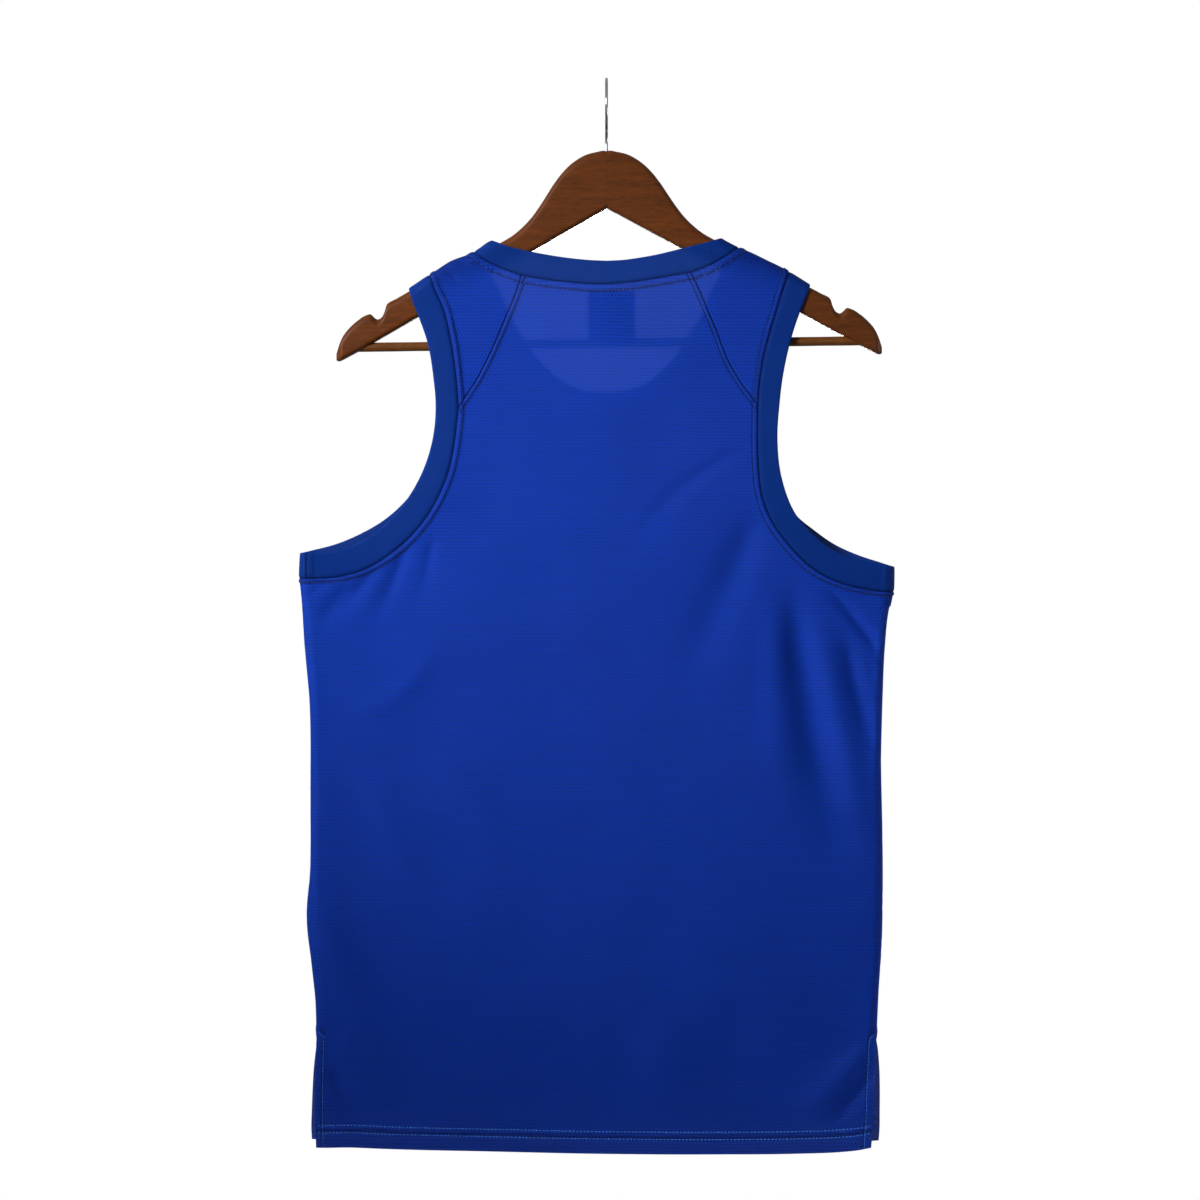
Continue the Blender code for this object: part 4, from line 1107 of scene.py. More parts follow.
def band_painted_shade(ring):
    """Return a band's painted shade: a hump beside the seam on the outer skin, and an even share inside."""
    reach, inside = BAND_PAINTED_SHADE
    away = rows_run(ring)
    seam = np.argmax(np.array(BAND_SHARES) > 0)
    near = bump(away - away[:, seam : seam + 1], reach)
    return near, np.maximum(near, inside)


def tuck_under(outer, inner):
    """Drop a band's first two columns behind the panels: its seam allowance, in mm from the middle."""
    start, thick = UNDER
    outer[:, :2] = -start
    inner[:, :3] = start + thick
    return outer, inner


def turn_under(grid, normal, outer, inner, wire_marks_and_painted_shade, edges, reach):
    """Add a seam allowance beyond the first or last row: it drops behind the neighbour and runs on."""
    start, thick = UNDER
    for last in edges:
        edge, within = (-1, -2) if last else (0, 1)
        away = unit(np.cross(normal[edge], np.gradient(grid[edge], axis=0)))
        away *= -np.sign(np.sum(away * (grid[within] - grid[edge]), axis=-1, keepdims=True))
        near, far = grid[edge] + away * ALLOWANCE_START, grid[edge] + away * reach
        more = np.stack((near, far) if last else (far, near))
        sunk = np.full(more.shape[:2], -start)
        inner[edge] = start + thick
        parts = [(grid, more), (normal, np.stack((normal[edge],) * 2)), (outer, sunk), (inner, thick - sunk)]
        # The allowance is painted fully in shade, as it lies under its neighbour
        parts.append((wire_marks_and_painted_shade, np.ones_like(sunk)))
        grid, normal, outer, inner, wire_marks_and_painted_shade = [np.concatenate((a, b) if last else (b, a)) for a, b in parts]
    return grid, normal, outer, inner, wire_marks_and_painted_shade


# Meshes


def new_piece(name, points, faces, uv=None, crease=50.0, wire_marks_and_painted_shade=None):
    """Make a smooth-shaded mesh object from points in mm, its faces turned outwards.

    The last argument is a number for each point: how much painted shade its colour gets there.
    """
    mesh = bpy.data.meshes.new(name)
    mesh.from_pydata((np.asarray(points) * MM).tolist(), [], faces)
    if uv is not None:
        corners = np.empty(len(mesh.loops), dtype=np.int32)
        mesh.loops.foreach_get("vertex_index", corners)
        mesh.uv_layers.new(name="lay").data.foreach_set("uv", uv[corners].ravel())
    # Each point's painted shade, which darkens the cloth's colour in its finish
    if wire_marks_and_painted_shade is not None:
        mesh.attributes.new("wire_marks_and_painted_shade", "FLOAT", "POINT").data.foreach_set("value", wire_marks_and_painted_shade.ravel())
    turn_outwards(mesh)
    mesh.shade_smooth()
    mesh.set_sharp_from_angle(angle=math.radians(crease))
    thing = bpy.data.objects.new(name, mesh)
    bpy.context.scene.collection.objects.link(thing)
    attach(thing, "root")
    return thing


def turn_outwards(mesh):
    """Flip all faces of a closed mesh if its volume, the sum of its corner tetrahedra, is negative."""
    points = np.empty(len(mesh.vertices) * 3)
    mesh.vertices.foreach_get("co", points)
    mesh.calc_loop_triangles()
    corners = np.empty(len(mesh.loop_triangles) * 3, dtype=np.int32)
    mesh.loop_triangles.foreach_get("vertices", corners)
    a, b, c = points.reshape(-1, 3)[corners.reshape(-1, 3)].transpose(1, 0, 2)
    if np.sum(a * np.cross(b, c)) < 0:
        mesh.flip_normals()


def skin_quads(rows, columns, ring):
    """Return the quads of one skin of a grid, by the numbers of its points."""
    at = np.arange(rows * columns).reshape(rows, columns)
    nxt = np.roll(at, -1, axis=0)
    if not ring:
        at, nxt = at[:-1], nxt[:-1]
    return np.stack((at[:, :-1], at[:, 1:], nxt[:, 1:], nxt[:, :-1]), axis=-1).reshape(-1, 4)


def rim_quads(rows, columns, ring):
    """Return the quads that join the outer skin to the inner one round the free edges."""
    skin = rows * columns
    at = np.arange(skin).reshape(rows, columns)
    if ring:
        loops = [np.append(at[:, -1], at[0, -1]), np.append(at[:, 0], at[0, 0])[::-1]]
    else:
        loops = [np.concatenate((at[0, :], at[1:, -1], at[-1, -2::-1], at[-2::-1, 0]))]
    quads = [np.stack((loop[1:], loop[:-1], loop[:-1] + skin, loop[1:] + skin), axis=-1) for loop in loops]
    return np.concatenate(quads)


def cloth_lay(grid):
    """Return where each point lies on the cloth, in metres: across from its middle column, and down."""
    across = rows_run(grid)
    across = across - across[:, across.shape[1] // 2 :][:, :1]
    return np.stack((across, grid[..., 2]), axis=-1) * MM


def shell(name, grid, normal, outer, inner, wire_marks_and_painted_shade, lay, ring=False):
    """Make one piece of cloth: an outer and an inner skin either side of its middle surface, at their
    own distances along its normals, closed round its edges. The painted shade is given for the outer and the
    inner skin."""
    rows, columns = grid.shape[:2]
    points = np.concatenate(
        ((grid + normal * outer[..., None]).reshape(-1, 3), (grid - normal * inner[..., None]).reshape(-1, 3))
    )
    quads = skin_quads(rows, columns, ring)
    faces = np.concatenate((quads, quads[:, ::-1] + rows * columns, rim_quads(rows, columns, ring)))
    flat = lay.reshape(-1, 2)
    return new_piece(name, points, faces.tolist(), np.concatenate((flat, flat)), wire_marks_and_painted_shade=np.stack(wire_marks_and_painted_shade))


def cut_size(grid, ring=False):
    """Return the width, length and area of a piece as it was cut, in metres: the longest row, the
    longest column and the sum of the quads of its middle surface."""
    closed = np.concatenate((grid, grid[:1])) if ring else grid
    width = lengths(closed.transpose(1, 0, 2))[-1].max() * MM
    length = lengths(closed)[-1].max() * MM
    down, across = np.diff(closed, axis=0)[:, :-1], np.diff(closed, axis=1)[:-1]
    area = np.linalg.norm(np.cross(down, across), axis=-1).sum() * MM * MM
    return width, length, min(area, width * length)


def declare(thing, grid, ring=False, width=None):
    """Print a finished cloth piece's cut: its width, length and area. width is given where rows slant."""
    across, along, area = cut_size(grid, ring)
    if width is not None:
        across = width
    area = min(area, across * along)
    print("cut of", thing.name, round(across, 3), "by", round(along, 3), "m, area", round(area, 4), "m2")


def ring_mesh(name, rings, uv=None, crease=50.0):
    """Make a mesh of one or more closed solids from rings of points: quads from ring to ring, and a
    flat cap at both ends of each solid."""
    long, around = rings.shape[-3:-1]
    at = np.arange(rings[..., 0].size).reshape(-1, long, around)
    nxt = np.roll(at, -1, axis=2)
    quads = np.stack((nxt[:, :-1], at[:, :-1], at[:, 1:], nxt[:, 1:]), axis=-1).reshape(-1, 4)
    caps = at[:, 0].tolist() + at[:, -1, ::-1].tolist()
    return new_piece(name, rings.reshape(-1, 3), quads.tolist() + caps, uv, crease)


# Stitches


def edge_line(grid, normal, outer, edge, inset):
    """Return the points and normals of a line on the outer skin at that distance in from an edge."""
    turned = {
        "left": lambda a: a,
        "right": lambda a: a[:, ::-1],
        "top": lambda a: np.swapaxes(a, 0, 1),
        "bottom": lambda a: np.swapaxes(a, 0, 1)[:, ::-1],
    }[edge]
    skin, facing = turned(grid + normal * outer[..., None]), turned(normal)
    run = rows_run(turned(grid))
    inset = np.broadcast_to(inset, len(run))
    after = np.clip(np.sum(run < inset[:, None], axis=1), 1, run.shape[1] - 1)
    row = np.arange(len(run))
    low, high = run[row, after - 1], run[row, after]
    share = np.clip((inset - low) / np.maximum(high - low, 1e-6), 0, 1)[:, None]
    return (
        skin[row, after - 1] * (1 - share) + skin[row, after] * share,
        facing[row, after - 1] * (1 - share) + facing[row, after] * share,
    )


STITCH_PROFILE = np.array(((-0.5, 0.3), (-0.36, 0.85), (0.0, 1.0), (0.36, 0.85), (0.5, 0.3)))
STITCH_SIDES = 6
STITCH_SHARE = 0.80
# A stitch's middle rises and its ends sink, in radii, and the span its heading is measured over, mm
STITCH_RISE = 0.55
STITCH_SINK = 4.0
STITCH_SPAN = 0.4


def stitch_row(points, normals, pitch, radius, start=0.0, stop=None):
    """Return the rings of the stitches along a line, a row for each stitch.

    Each is a short spindle along the line, bowed up in its middle and sunk at both ends.
    """
    run = lengths(points)
    stop = run[-1] if stop is None else stop
    count = max(int((stop - start) / pitch), 1)
    centre = start + (np.arange(count) + 0.5) * (stop - start) / count

    def at(place_on, values):
        return np.stack([np.interp(place_on, run, values[:, k]) for k in range(3)], axis=-1)

    middle, up = at(centre, points), at(centre, normals)
    along = unit(at(centre + STITCH_SPAN, points) - at(centre - STITCH_SPAN, points))
    up = unit(up - along * np.sum(up * along, axis=1, keepdims=True))
    side = np.cross(along, up)
    turns = np.linspace(0, 2 * math.pi, STITCH_SIDES, endpoint=False)
    place_on, thick = STITCH_PROFILE[:, 0] * pitch * STITCH_SHARE, STITCH_PROFILE[:, 1] * radius
    sink = radius * (STITCH_RISE - STITCH_SINK * STITCH_PROFILE[:, 0] ** 2)
    spread = thick[:, None] * np.cos(turns)
    rise = thick[:, None] * np.sin(turns) + sink[:, None]
    return (
        middle[:, None, None]
        + along[:, None, None] * place_on[None, :, None, None]
        + side[:, None, None] * spread[None, ..., None]
        + up[:, None, None] * rise[None, ..., None]
    )


# Shader nodes

WHITE = (1.0, 1.0, 1.0, 1.0)
# Colour of the light that comes through the cloth, and its share
PANEL_GLOW = ((0.50, 0.60, 0.95), 0.27)
BAND_GLOW = ((0.40, 0.55, 0.90), 0.20)
# How deep each finish's relief is, m
MESH_RELIEF = 0.00022
BAND_RELIEF = 0.00010
LABEL_RELIEF = 0.00006
WOOD_RELIEF = 0.00007
FINISH_OUTPUTS = {"Colour": WHITE, "Roughness": 0.5, "Height": 0.0}


def node(tree, kind, inputs=None, **settings):
    """Add a node, set what it is told to, and link or fill its inputs by name or number."""
    made = tree.nodes.new(kind)
    for key, value in settings.items():
        setattr(made, key, value)
    for key, value in (inputs or {}).items():
        if isinstance(value, bpy.types.NodeSocket):
            tree.links.new(value, made.inputs[key])
        else:
            made.inputs[key].default_value = value
    return made


def calc(tree, operation, *values):
    """Add a Math node and return its result."""
    return node(tree, "ShaderNodeMath", dict(enumerate(values)), operation=operation).outputs[0]


def spread_out(tree, value, low, high, to_low=0.0, to_high=1.0):
    """Ease value from its own range to another and return the result."""
    ranges = {"Value": value, "From Min": low, "From Max": high, "To Min": to_low, "To Max": to_high}
    return node(tree, "ShaderNodeMapRange", ranges, interpolation_type="SMOOTHSTEP").outputs["Result"]


def tinted(tree, colour, share):
    """Return a colour times a number."""
    return node(tree, "ShaderNodeVectorMath", {0: colour, "Scale": share}, operation="SCALE").outputs[0]


def new_group(name, inputs):
    """Start a shader node group with the inputs given as name: default, and the outputs of a finish."""
    tree = bpy.data.node_groups.new(name, "ShaderNodeTree")
    for names, side in ((inputs, "INPUT"), (FINISH_OUTPUTS, "OUTPUT")):
        for label, default in names.items():
            kind = {tuple: "NodeSocketColor", str: "NodeSocketVector"}.get(type(default), "NodeSocketFloat")
            socket = tree.interface.new_socket(label, in_out=side, socket_type=kind)
            if side == "INPUT" and kind != "NodeSocketVector":
                socket.default_value = default
    given = tree.nodes.new("NodeGroupInput").outputs
    taken = tree.nodes.new("NodeGroupOutput").inputs
    return tree, given, taken


def give(tree, taken, colour, roughness, height):
    """Link a finish's results to its group's outputs and return the group."""
    for label, result in zip(FINISH_OUTPUTS, (colour, roughness, height)):
        tree.links.new(result, taken[label])
    return tree


def wave(tree, value, pitch):
    """Return the turn of a wave of that pitch at value."""
    return calc(tree, "DIVIDE", calc(tree, "MULTIPLY", value, 2 * math.pi), pitch)


def add_swings(tree, shade, *swings):
    """Add noises to a shade, each one's 0 to 1 spread to a swing of its own size about nothing."""
    for value, swing in swings:
        shade = calc(tree, "ADD", shade, calc(tree, "MULTIPLY_ADD", value, swing, -swing / 2))
    return shade


def noise(tree, vector, scale, detail=2.0, roughness=0.5, stretch=(1.0, 1.0, 1.0)):
    """Add a noise on a stretched vector and return its value."""
    moved = node(tree, "ShaderNodeMapping", {"Vector": vector, "Scale": stretch}).outputs[0]
    inputs = {"Vector": moved, "Scale": scale, "Detail": detail, "Roughness": roughness}
    return node(tree, "ShaderNodeTexNoise", inputs, noise_dimensions="3D").outputs[0]


@functools.lru_cache(maxsize=None)
def mesh_knit():
    """Rows of knit with staggered eyelets: the rows are a cosine down the cloth, and an eyelet lies
    where that cosine and one across it peak together. Slow noise bends the rows and varies them."""
    inputs = {"Lay": "", "Colour": WHITE, "Row pitch": 0.0026, "Eyelet pitch": 0.0025, "Painted shade": 0.0}
    tree, given, taken = new_group("Mesh knit", inputs)
    part = node(tree, "ShaderNodeSeparateXYZ", {0: given["Lay"]}).outputs
    drift = noise(tree, given["Lay"], 9.0, 2.0)
    down = calc(tree, "ADD", part["Y"], calc(tree, "MULTIPLY", drift, 0.004))
    turn = wave(tree, down, given["Row pitch"])
    across = wave(tree, part["X"], given["Eyelet pitch"])
    row = calc(tree, "COSINE", turn)
    half = calc(tree, "COSINE", calc(tree, "MULTIPLY", turn, 0.5))
    peaks = calc(tree, "MULTIPLY", half, calc(tree, "COSINE", across))
    eyelet = spread_out(tree, calc(tree, "MULTIPLY", peaks, row), 0.0, 0.55)
    streak = noise(tree, given["Lay"], 1.0, 3.0, 0.6, (14.0, 520.0, 14.0))
    blotch = noise(tree, given["Lay"], 16.0, 3.0, 0.55)
    fibre = noise(tree, given["Lay"], 1900.0, 1.0)
    shade = calc(tree, "MULTIPLY_ADD", row, -0.015, 1.20)
    shade = calc(tree, "MULTIPLY_ADD", eyelet, -0.95, shade)
    shade = add_swings(tree, shade, (streak, 0.36), (blotch, 0.20), (fibre, 0.16))
    shade = calc(tree, "MAXIMUM", shade, 0.05)
    # Painted shade: darker where seams and stitches draw the cloth in, or where it lies in shade
    shade = calc(tree, "MULTIPLY", shade, calc(tree, "MULTIPLY_ADD", given["Painted shade"], -PAINTED_SHADE_DARKNESS, 1.0))
    colour = tinted(tree, given["Colour"], shade)
    roughness = spread_out(tree, streak, 0.2, 0.8, 0.50, 0.64)
    height = calc(tree, "MULTIPLY_ADD", eyelet, -0.9, calc(tree, "MULTIPLY", row, 0.45))
    height = calc(tree, "MULTIPLY_ADD", fibre, 0.3, height)
    return give(tree, taken, colour, roughness, calc(tree, "MULTIPLY_ADD", streak, 0.6, height))


@functools.lru_cache(maxsize=None)
def smooth_knit():
    """A close smooth knit: fine wales along the band as a cosine across it, broken by fibre noise."""
    inputs = {"Lay": "", "Colour": WHITE, "Wale pitch": 0.0009, "Painted shade": 0.0}
    tree, given, taken = new_group("Smooth knit", inputs)
    part = node(tree, "ShaderNodeSeparateXYZ", {0: given["Lay"]}).outputs
    wale, loop = (calc(tree, "COSINE", wave(tree, part[way], given["Wale pitch"])) for way in "XY")
    fibre = noise(tree, given["Lay"], 2400.0, 1.0)
    blotch = noise(tree, given["Lay"], 40.0, 3.0, 0.6)
    shade = calc(tree, "MULTIPLY_ADD", wale, 0.03, 1.0)
    shade = add_swings(tree, shade, (fibre, 0.14), (blotch, 0.20))
    # Painted shade: darker where seams and stitches draw the cloth in, or where it lies in shade
    shade = calc(tree, "MULTIPLY", shade, calc(tree, "MULTIPLY_ADD", given["Painted shade"], -PAINTED_SHADE_DARKNESS, 1.0))
    colour = tinted(tree, given["Colour"], shade)
    roughness = spread_out(tree, blotch, 0.25, 0.75, 0.46, 0.58)
    height = calc(tree, "MULTIPLY_ADD", loop, 0.25, calc(tree, "MULTIPLY", wale, 0.4))
    return give(tree, taken, colour, roughness, calc(tree, "MULTIPLY_ADD", fibre, 0.5, height))


@functools.lru_cache(maxsize=None)
def wood_grain():
    """Long grain: noise stretched along the wood for the bands, finer noise for pores and streaks."""
    inputs = {"Lay": "", "Colour": WHITE, "Contrast": 1.0, "Gloss": 0.35}
    tree, given, taken = new_group("Wood grain", inputs)
    band = noise(tree, given["Lay"], 1.0, 4.0, 0.6, (11.0, 190.0, 190.0))
    pore = noise(tree, given["Lay"], 1.0, 3.0, 0.7, (90.0, 620.0, 620.0))
    cloud = noise(tree, given["Lay"], 18.0, 2.0)
    swing = add_swings(tree, 0.0, (band, 1.4), (pore, 1.5), (cloud, 0.5))
    shade = calc(tree, "MULTIPLY_ADD", swing, given["Contrast"], 1.0)
    roughness = calc(tree, "MULTIPLY_ADD", pore, 0.12, given["Gloss"])
    height = calc(tree, "ADD", pore, calc(tree, "MULTIPLY", band, 0.4))
    return give(tree, taken, tinted(tree, given["Colour"], shade), roughness, height)


def new_material(name, colour, **plain):
    """Return a material with its tree and its one Principled shader, with plain values on its sockets."""
    material = bpy.data.materials.new(name)
    material.use_nodes = True
    material.diffuse_color = (*colour, 1.0)
    shader = material.node_tree.nodes["Principled BSDF"]
    for label, value in plain.items():
        shader.inputs[label.replace("_", " ")].default_value = value
    return material, material.node_tree, shader


def finish_with(tree, shader, group, inputs, bump_height):
    """Place a node group on the piece's own lay and feed its outputs to the shader, height by a bump."""
    lay = node(tree, "ShaderNodeUVMap", uv_map="lay").outputs[0]
    placed = node(tree, "ShaderNodeGroup", node_tree=group)
    tree.links.new(lay, placed.inputs["Lay"])
    # Each point's painted shade goes to the groups that take it, to darken their colour
    if "Painted shade" in placed.inputs:
        wire_marks_and_painted_shade = node(tree, "ShaderNodeAttribute", attribute_name="wire_marks_and_painted_shade").outputs["Fac"]
        tree.links.new(wire_marks_and_painted_shade, placed.inputs["Painted shade"])
    for label, value in inputs.items():
        placed.inputs[label].default_value = value
    tree.links.new(placed.outputs["Colour"], shader.inputs["Base Color"])
    tree.links.new(placed.outputs["Roughness"], shader.inputs["Roughness"])
    raised = node(tree, "ShaderNodeBump", {"Height": placed.outputs["Height"], "Distance": bump_height})
    tree.links.new(raised.outputs[0], shader.inputs["Normal"])


def cloth_material(name, colour, group, inputs, bump_height, gloss=0.05):
    """Return a cloth's material, tree and shader, with its colour and finish from a node group."""
    material, tree, shader = new_material(name, colour, IOR=1.45, Specular_IOR_Level=gloss)
    finish_with(tree, shader, group, {"Colour": colour_of(colour)} | inputs, bump_height)
    return material, tree, shader


def let_light_through(tree, shader, colour, share):
    """Mix in a little of a translucent shader, for cloth with light behind it."""
    through = node(tree, "ShaderNodeBsdfTranslucent", {"Color": (*colour, 1.0)})
    mix = node(tree, "ShaderNodeMixShader", {0: share, 1: shader.outputs[0], 2: through.outputs[0]})
    tree.links.new(mix.outputs[0], tree.nodes["Material Output"].inputs["Surface"])


def colour_of(value):
    """Return a property's colour as four numbers."""
    return (*value, 1.0)


@functools.lru_cache(maxsize=None)
def panel_material():
    """Mesh knit of the panels, a little see-through."""
    cloth = bpy.context.scene.training_top_cloth
    pitches = {"Row pitch": cloth.row_pitch, "Eyelet pitch": cloth.eyelet_pitch}
    material, tree, shader = cloth_material(
        "panel mesh knit", cloth.panel_colour, mesh_knit(), pitches, MESH_RELIEF
    )
    let_light_through(tree, shader, *PANEL_GLOW)
    return material


@functools.lru_cache(maxsize=None)
def band_material():
    """Smooth close knit of the bands, a little see-through."""
    cloth = bpy.context.scene.training_top_cloth
    material, tree, shader = cloth_material(
        "band smooth knit", cloth.band_colour, smooth_knit(), {}, BAND_RELIEF
    )
    let_light_through(tree, shader, *BAND_GLOW)
    return material


@functools.lru_cache(maxsize=None)
def thread_material(at_hem):
    """Sewing thread, mottled by noise. The seams' thread is painted dark for the shade in its grooves; the
    hem's is a little lighter.
    """
    cloth = bpy.context.scene.training_top_cloth
    colour = cloth.hem_thread_colour if at_hem else cloth.thread_colour_with_groove_shade
    material, tree, shader = new_material("sewing thread", colour, IOR=1.5, Sheen_Weight=0.05, Roughness=0.4)
    at = node(tree, "ShaderNodeTexCoord").outputs["Object"]
    mottle = noise(tree, at, 260.0, 2.0)
    shade = spread_out(tree, mottle, 0.3, 0.7, 0.75, 1.3)
    tree.links.new(tinted(tree, tuple(colour), shade), shader.inputs["Base Color"])
    return material


@functools.lru_cache(maxsize=None)
def label_material():
    """Close woven satin of the neck label."""
    cloth = bpy.context.scene.training_top_cloth
    material, _, _ = cloth_material(
        "woven label", cloth.label_colour, smooth_knit(), {"Wale pitch": 0.0006}, LABEL_RELIEF, gloss=0.12
    )
    return material


def wood_material(name, colour, contrast, gloss, coat):
    """Stained and lacquered wood."""
    material, tree, shader = new_material(
        name, colour, IOR=1.45, Specular_IOR_Level=0.15, Coat_Weight=coat, Coat_Roughness=0.35
    )
    inputs = {"Colour": colour_of(colour), "Contrast": contrast, "Gloss": gloss}
    finish_with(tree, shader, wood_grain(), inputs, WOOD_RELIEF)
    return material


def wire_material():
    """Plated wire with faint drawing marks along it."""
    hanger = bpy.context.scene.training_top_hanger
    material, tree, shader = new_material("plated wire", hanger.wire_colour, Metallic=1.0)
    at = node(tree, "ShaderNodeTexCoord").outputs["Object"]
    wire_marks_and_painted_shade = noise(tree, at, 1.0, 2.0, 0.5, (2600.0, 2600.0, 60.0))
    shade = spread_out(tree, wire_marks_and_painted_shade, 0.3, 0.7, 0.85, 1.1)
    tree.links.new(tinted(tree, tuple(hanger.wire_colour), shade), shader.inputs["Base Color"])
    tree.links.new(spread_out(tree, wire_marks_and_painted_shade, 0.2, 0.8, 0.08, 0.2), shader.inputs["Roughness"])
    return material


# Operators


class TRAININGTOP_OT_panels(bpy.types.Operator):
    """Make the back and front panels"""

    bl_idname = "training_top.panels"
    bl_label = "Panels"

    def execute(self, context):
        cloth = context.scene.training_top_cloth
        wall = cloth.panel_wall / MM
        for face, name, stands_for in ((-1, "back_cloth", "back_panel"), (1, "front_cloth", "front_panel")):
            grid, normal, relief, wire_marks_and_painted_shade = panel_form(face)
            seams = ("first_row", "first_column", "last_column")
            middle = draw_in(grid, normal, seams, cloth.seam_gap / MM)
            outer, inner = both_skins(wall, relief)
            piece = shell(name, middle, normal, outer, inner, (wire_marks_and_painted_shade, wire_marks_and_painted_shade), cloth_lay(grid))
            piece.data.materials.append(panel_material())
            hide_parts(stands_for)
            declare(piece, grid)
        return {"FINISHED"}


class TRAININGTOP_OT_shoulders(bpy.types.Operator):
    """Make the two shoulder panels, each one sheet over an arm of the hanger"""

    bl_idname = "training_top.shoulders"
    bl_label = "Shoulder panels"

    def execute(self, context):
        cloth = context.scene.training_top_cloth
        wall = cloth.panel_wall / MM
        for side, name in ((-1, "left"), (1, "right")):
            grid, normal, relief, wire_marks_and_painted_shade = shoulder_form(side)
            seams = ("first_row", "last_row", "first_column", "last_column")
            middle = draw_in(grid, normal, seams, cloth.seam_gap / MM)
            outer, inner = both_skins(wall, relief)
            sheet = turn_under(middle, normal, outer, inner, wire_marks_and_painted_shade, (False, True), ALLOWANCE)
            lay = np.stack((sheet[0][..., 0], sheet[0][..., 2]), axis=-1) * MM
            piece = shell("shoulder_cloth_" + name, *sheet[:4], (sheet[4], sheet[4]), lay)
            piece.data.materials.append(panel_material())
            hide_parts("shoulder_panel_" + name)
            declare(piece, grid, width=np.ptp(grid[..., 0]) * MM)
        return {"FINISHED"}


class TRAININGTOP_OT_bands(bpy.types.Operator):
    """Make the folded bands round the neck and both armholes"""

    bl_idname = "training_top.bands"
    bl_label = "Bands"

    def execute(self, context):
        cloth = context.scene.training_top_cloth
        wall = cloth.band_wall / MM
        rings = {
            "neck_band": neck_band_ring(),
            "armhole_band_left": arm_band_ring(-1),
            "armhole_band_right": arm_band_ring(1),
        }
        for name, ring in rings.items():
            normal = outward_normals(ring, ring=True)
            outer, inner = band_section(ring)
            outer *= wall / 2
            if name == "armhole_band_left":
                outer += join_relief(ring)
            outer, inner = tuck_under(outer, inner * wall / 2)
            lay = np.stack((rows_run(ring), lengths(ring)), axis=-1) * MM
            # Painted shade beside each band's seam, over its inner skin, and in the left band's join
            wire_marks_and_painted_shade = band_painted_shade(ring)
            if name == "armhole_band_left":
                wire_marks_and_painted_shade = (np.maximum(wire_marks_and_painted_shade[0], join_painted_shade(ring)), wire_marks_and_painted_shade[1])
            piece = shell(name + "_knit", ring, normal, outer, inner, wire_marks_and_painted_shade, lay, ring=True)
            piece.data.materials.append(band_material())
            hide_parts(name)
            declare(piece, ring, ring=True)
        return {"FINISHED"}


class TRAININGTOP_OT_label(bpy.types.Operator):
    """Make the plain label inside the back neck"""

    bl_idname = "training_top.label"
    bl_label = "Neck label"

    def execute(self, context):
        cloth = context.scene.training_top_cloth
        left, right, low, high = LABEL_BOX
        count = LABEL_CELLS + 1
        x, z = np.meshgrid(np.linspace(left, right, count), np.linspace(high, low, count))
        grid = place(np.stack((x, z), axis=-1), -1)
        wall = cloth.label_wall / MM
        height, length, reach = LABEL_RIPPLE
        sag = LABEL_SAG * smooth((high - z) / (high - low))
        sag += height * np.cos(x / length) * smooth((high - z) / reach)
        grid[..., 1] += cloth.panel_wall / MM / 2 + LABEL_GAP + wall / 2 + sag
        normal = outward_normals(grid)
        thick = np.full(grid.shape[:2], wall / 2)
        wire_marks_and_painted_shade = np.zeros(thick.shape)
        piece = shell("label_cloth_piece", grid, normal, thick, thick, (wire_marks_and_painted_shade, wire_marks_and_painted_shade), cloth_lay(grid))
        piece.data.materials.append(label_material())
        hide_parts("neck_label")
        across, along, area = cut_size(grid)
        return {"FINISHED"}


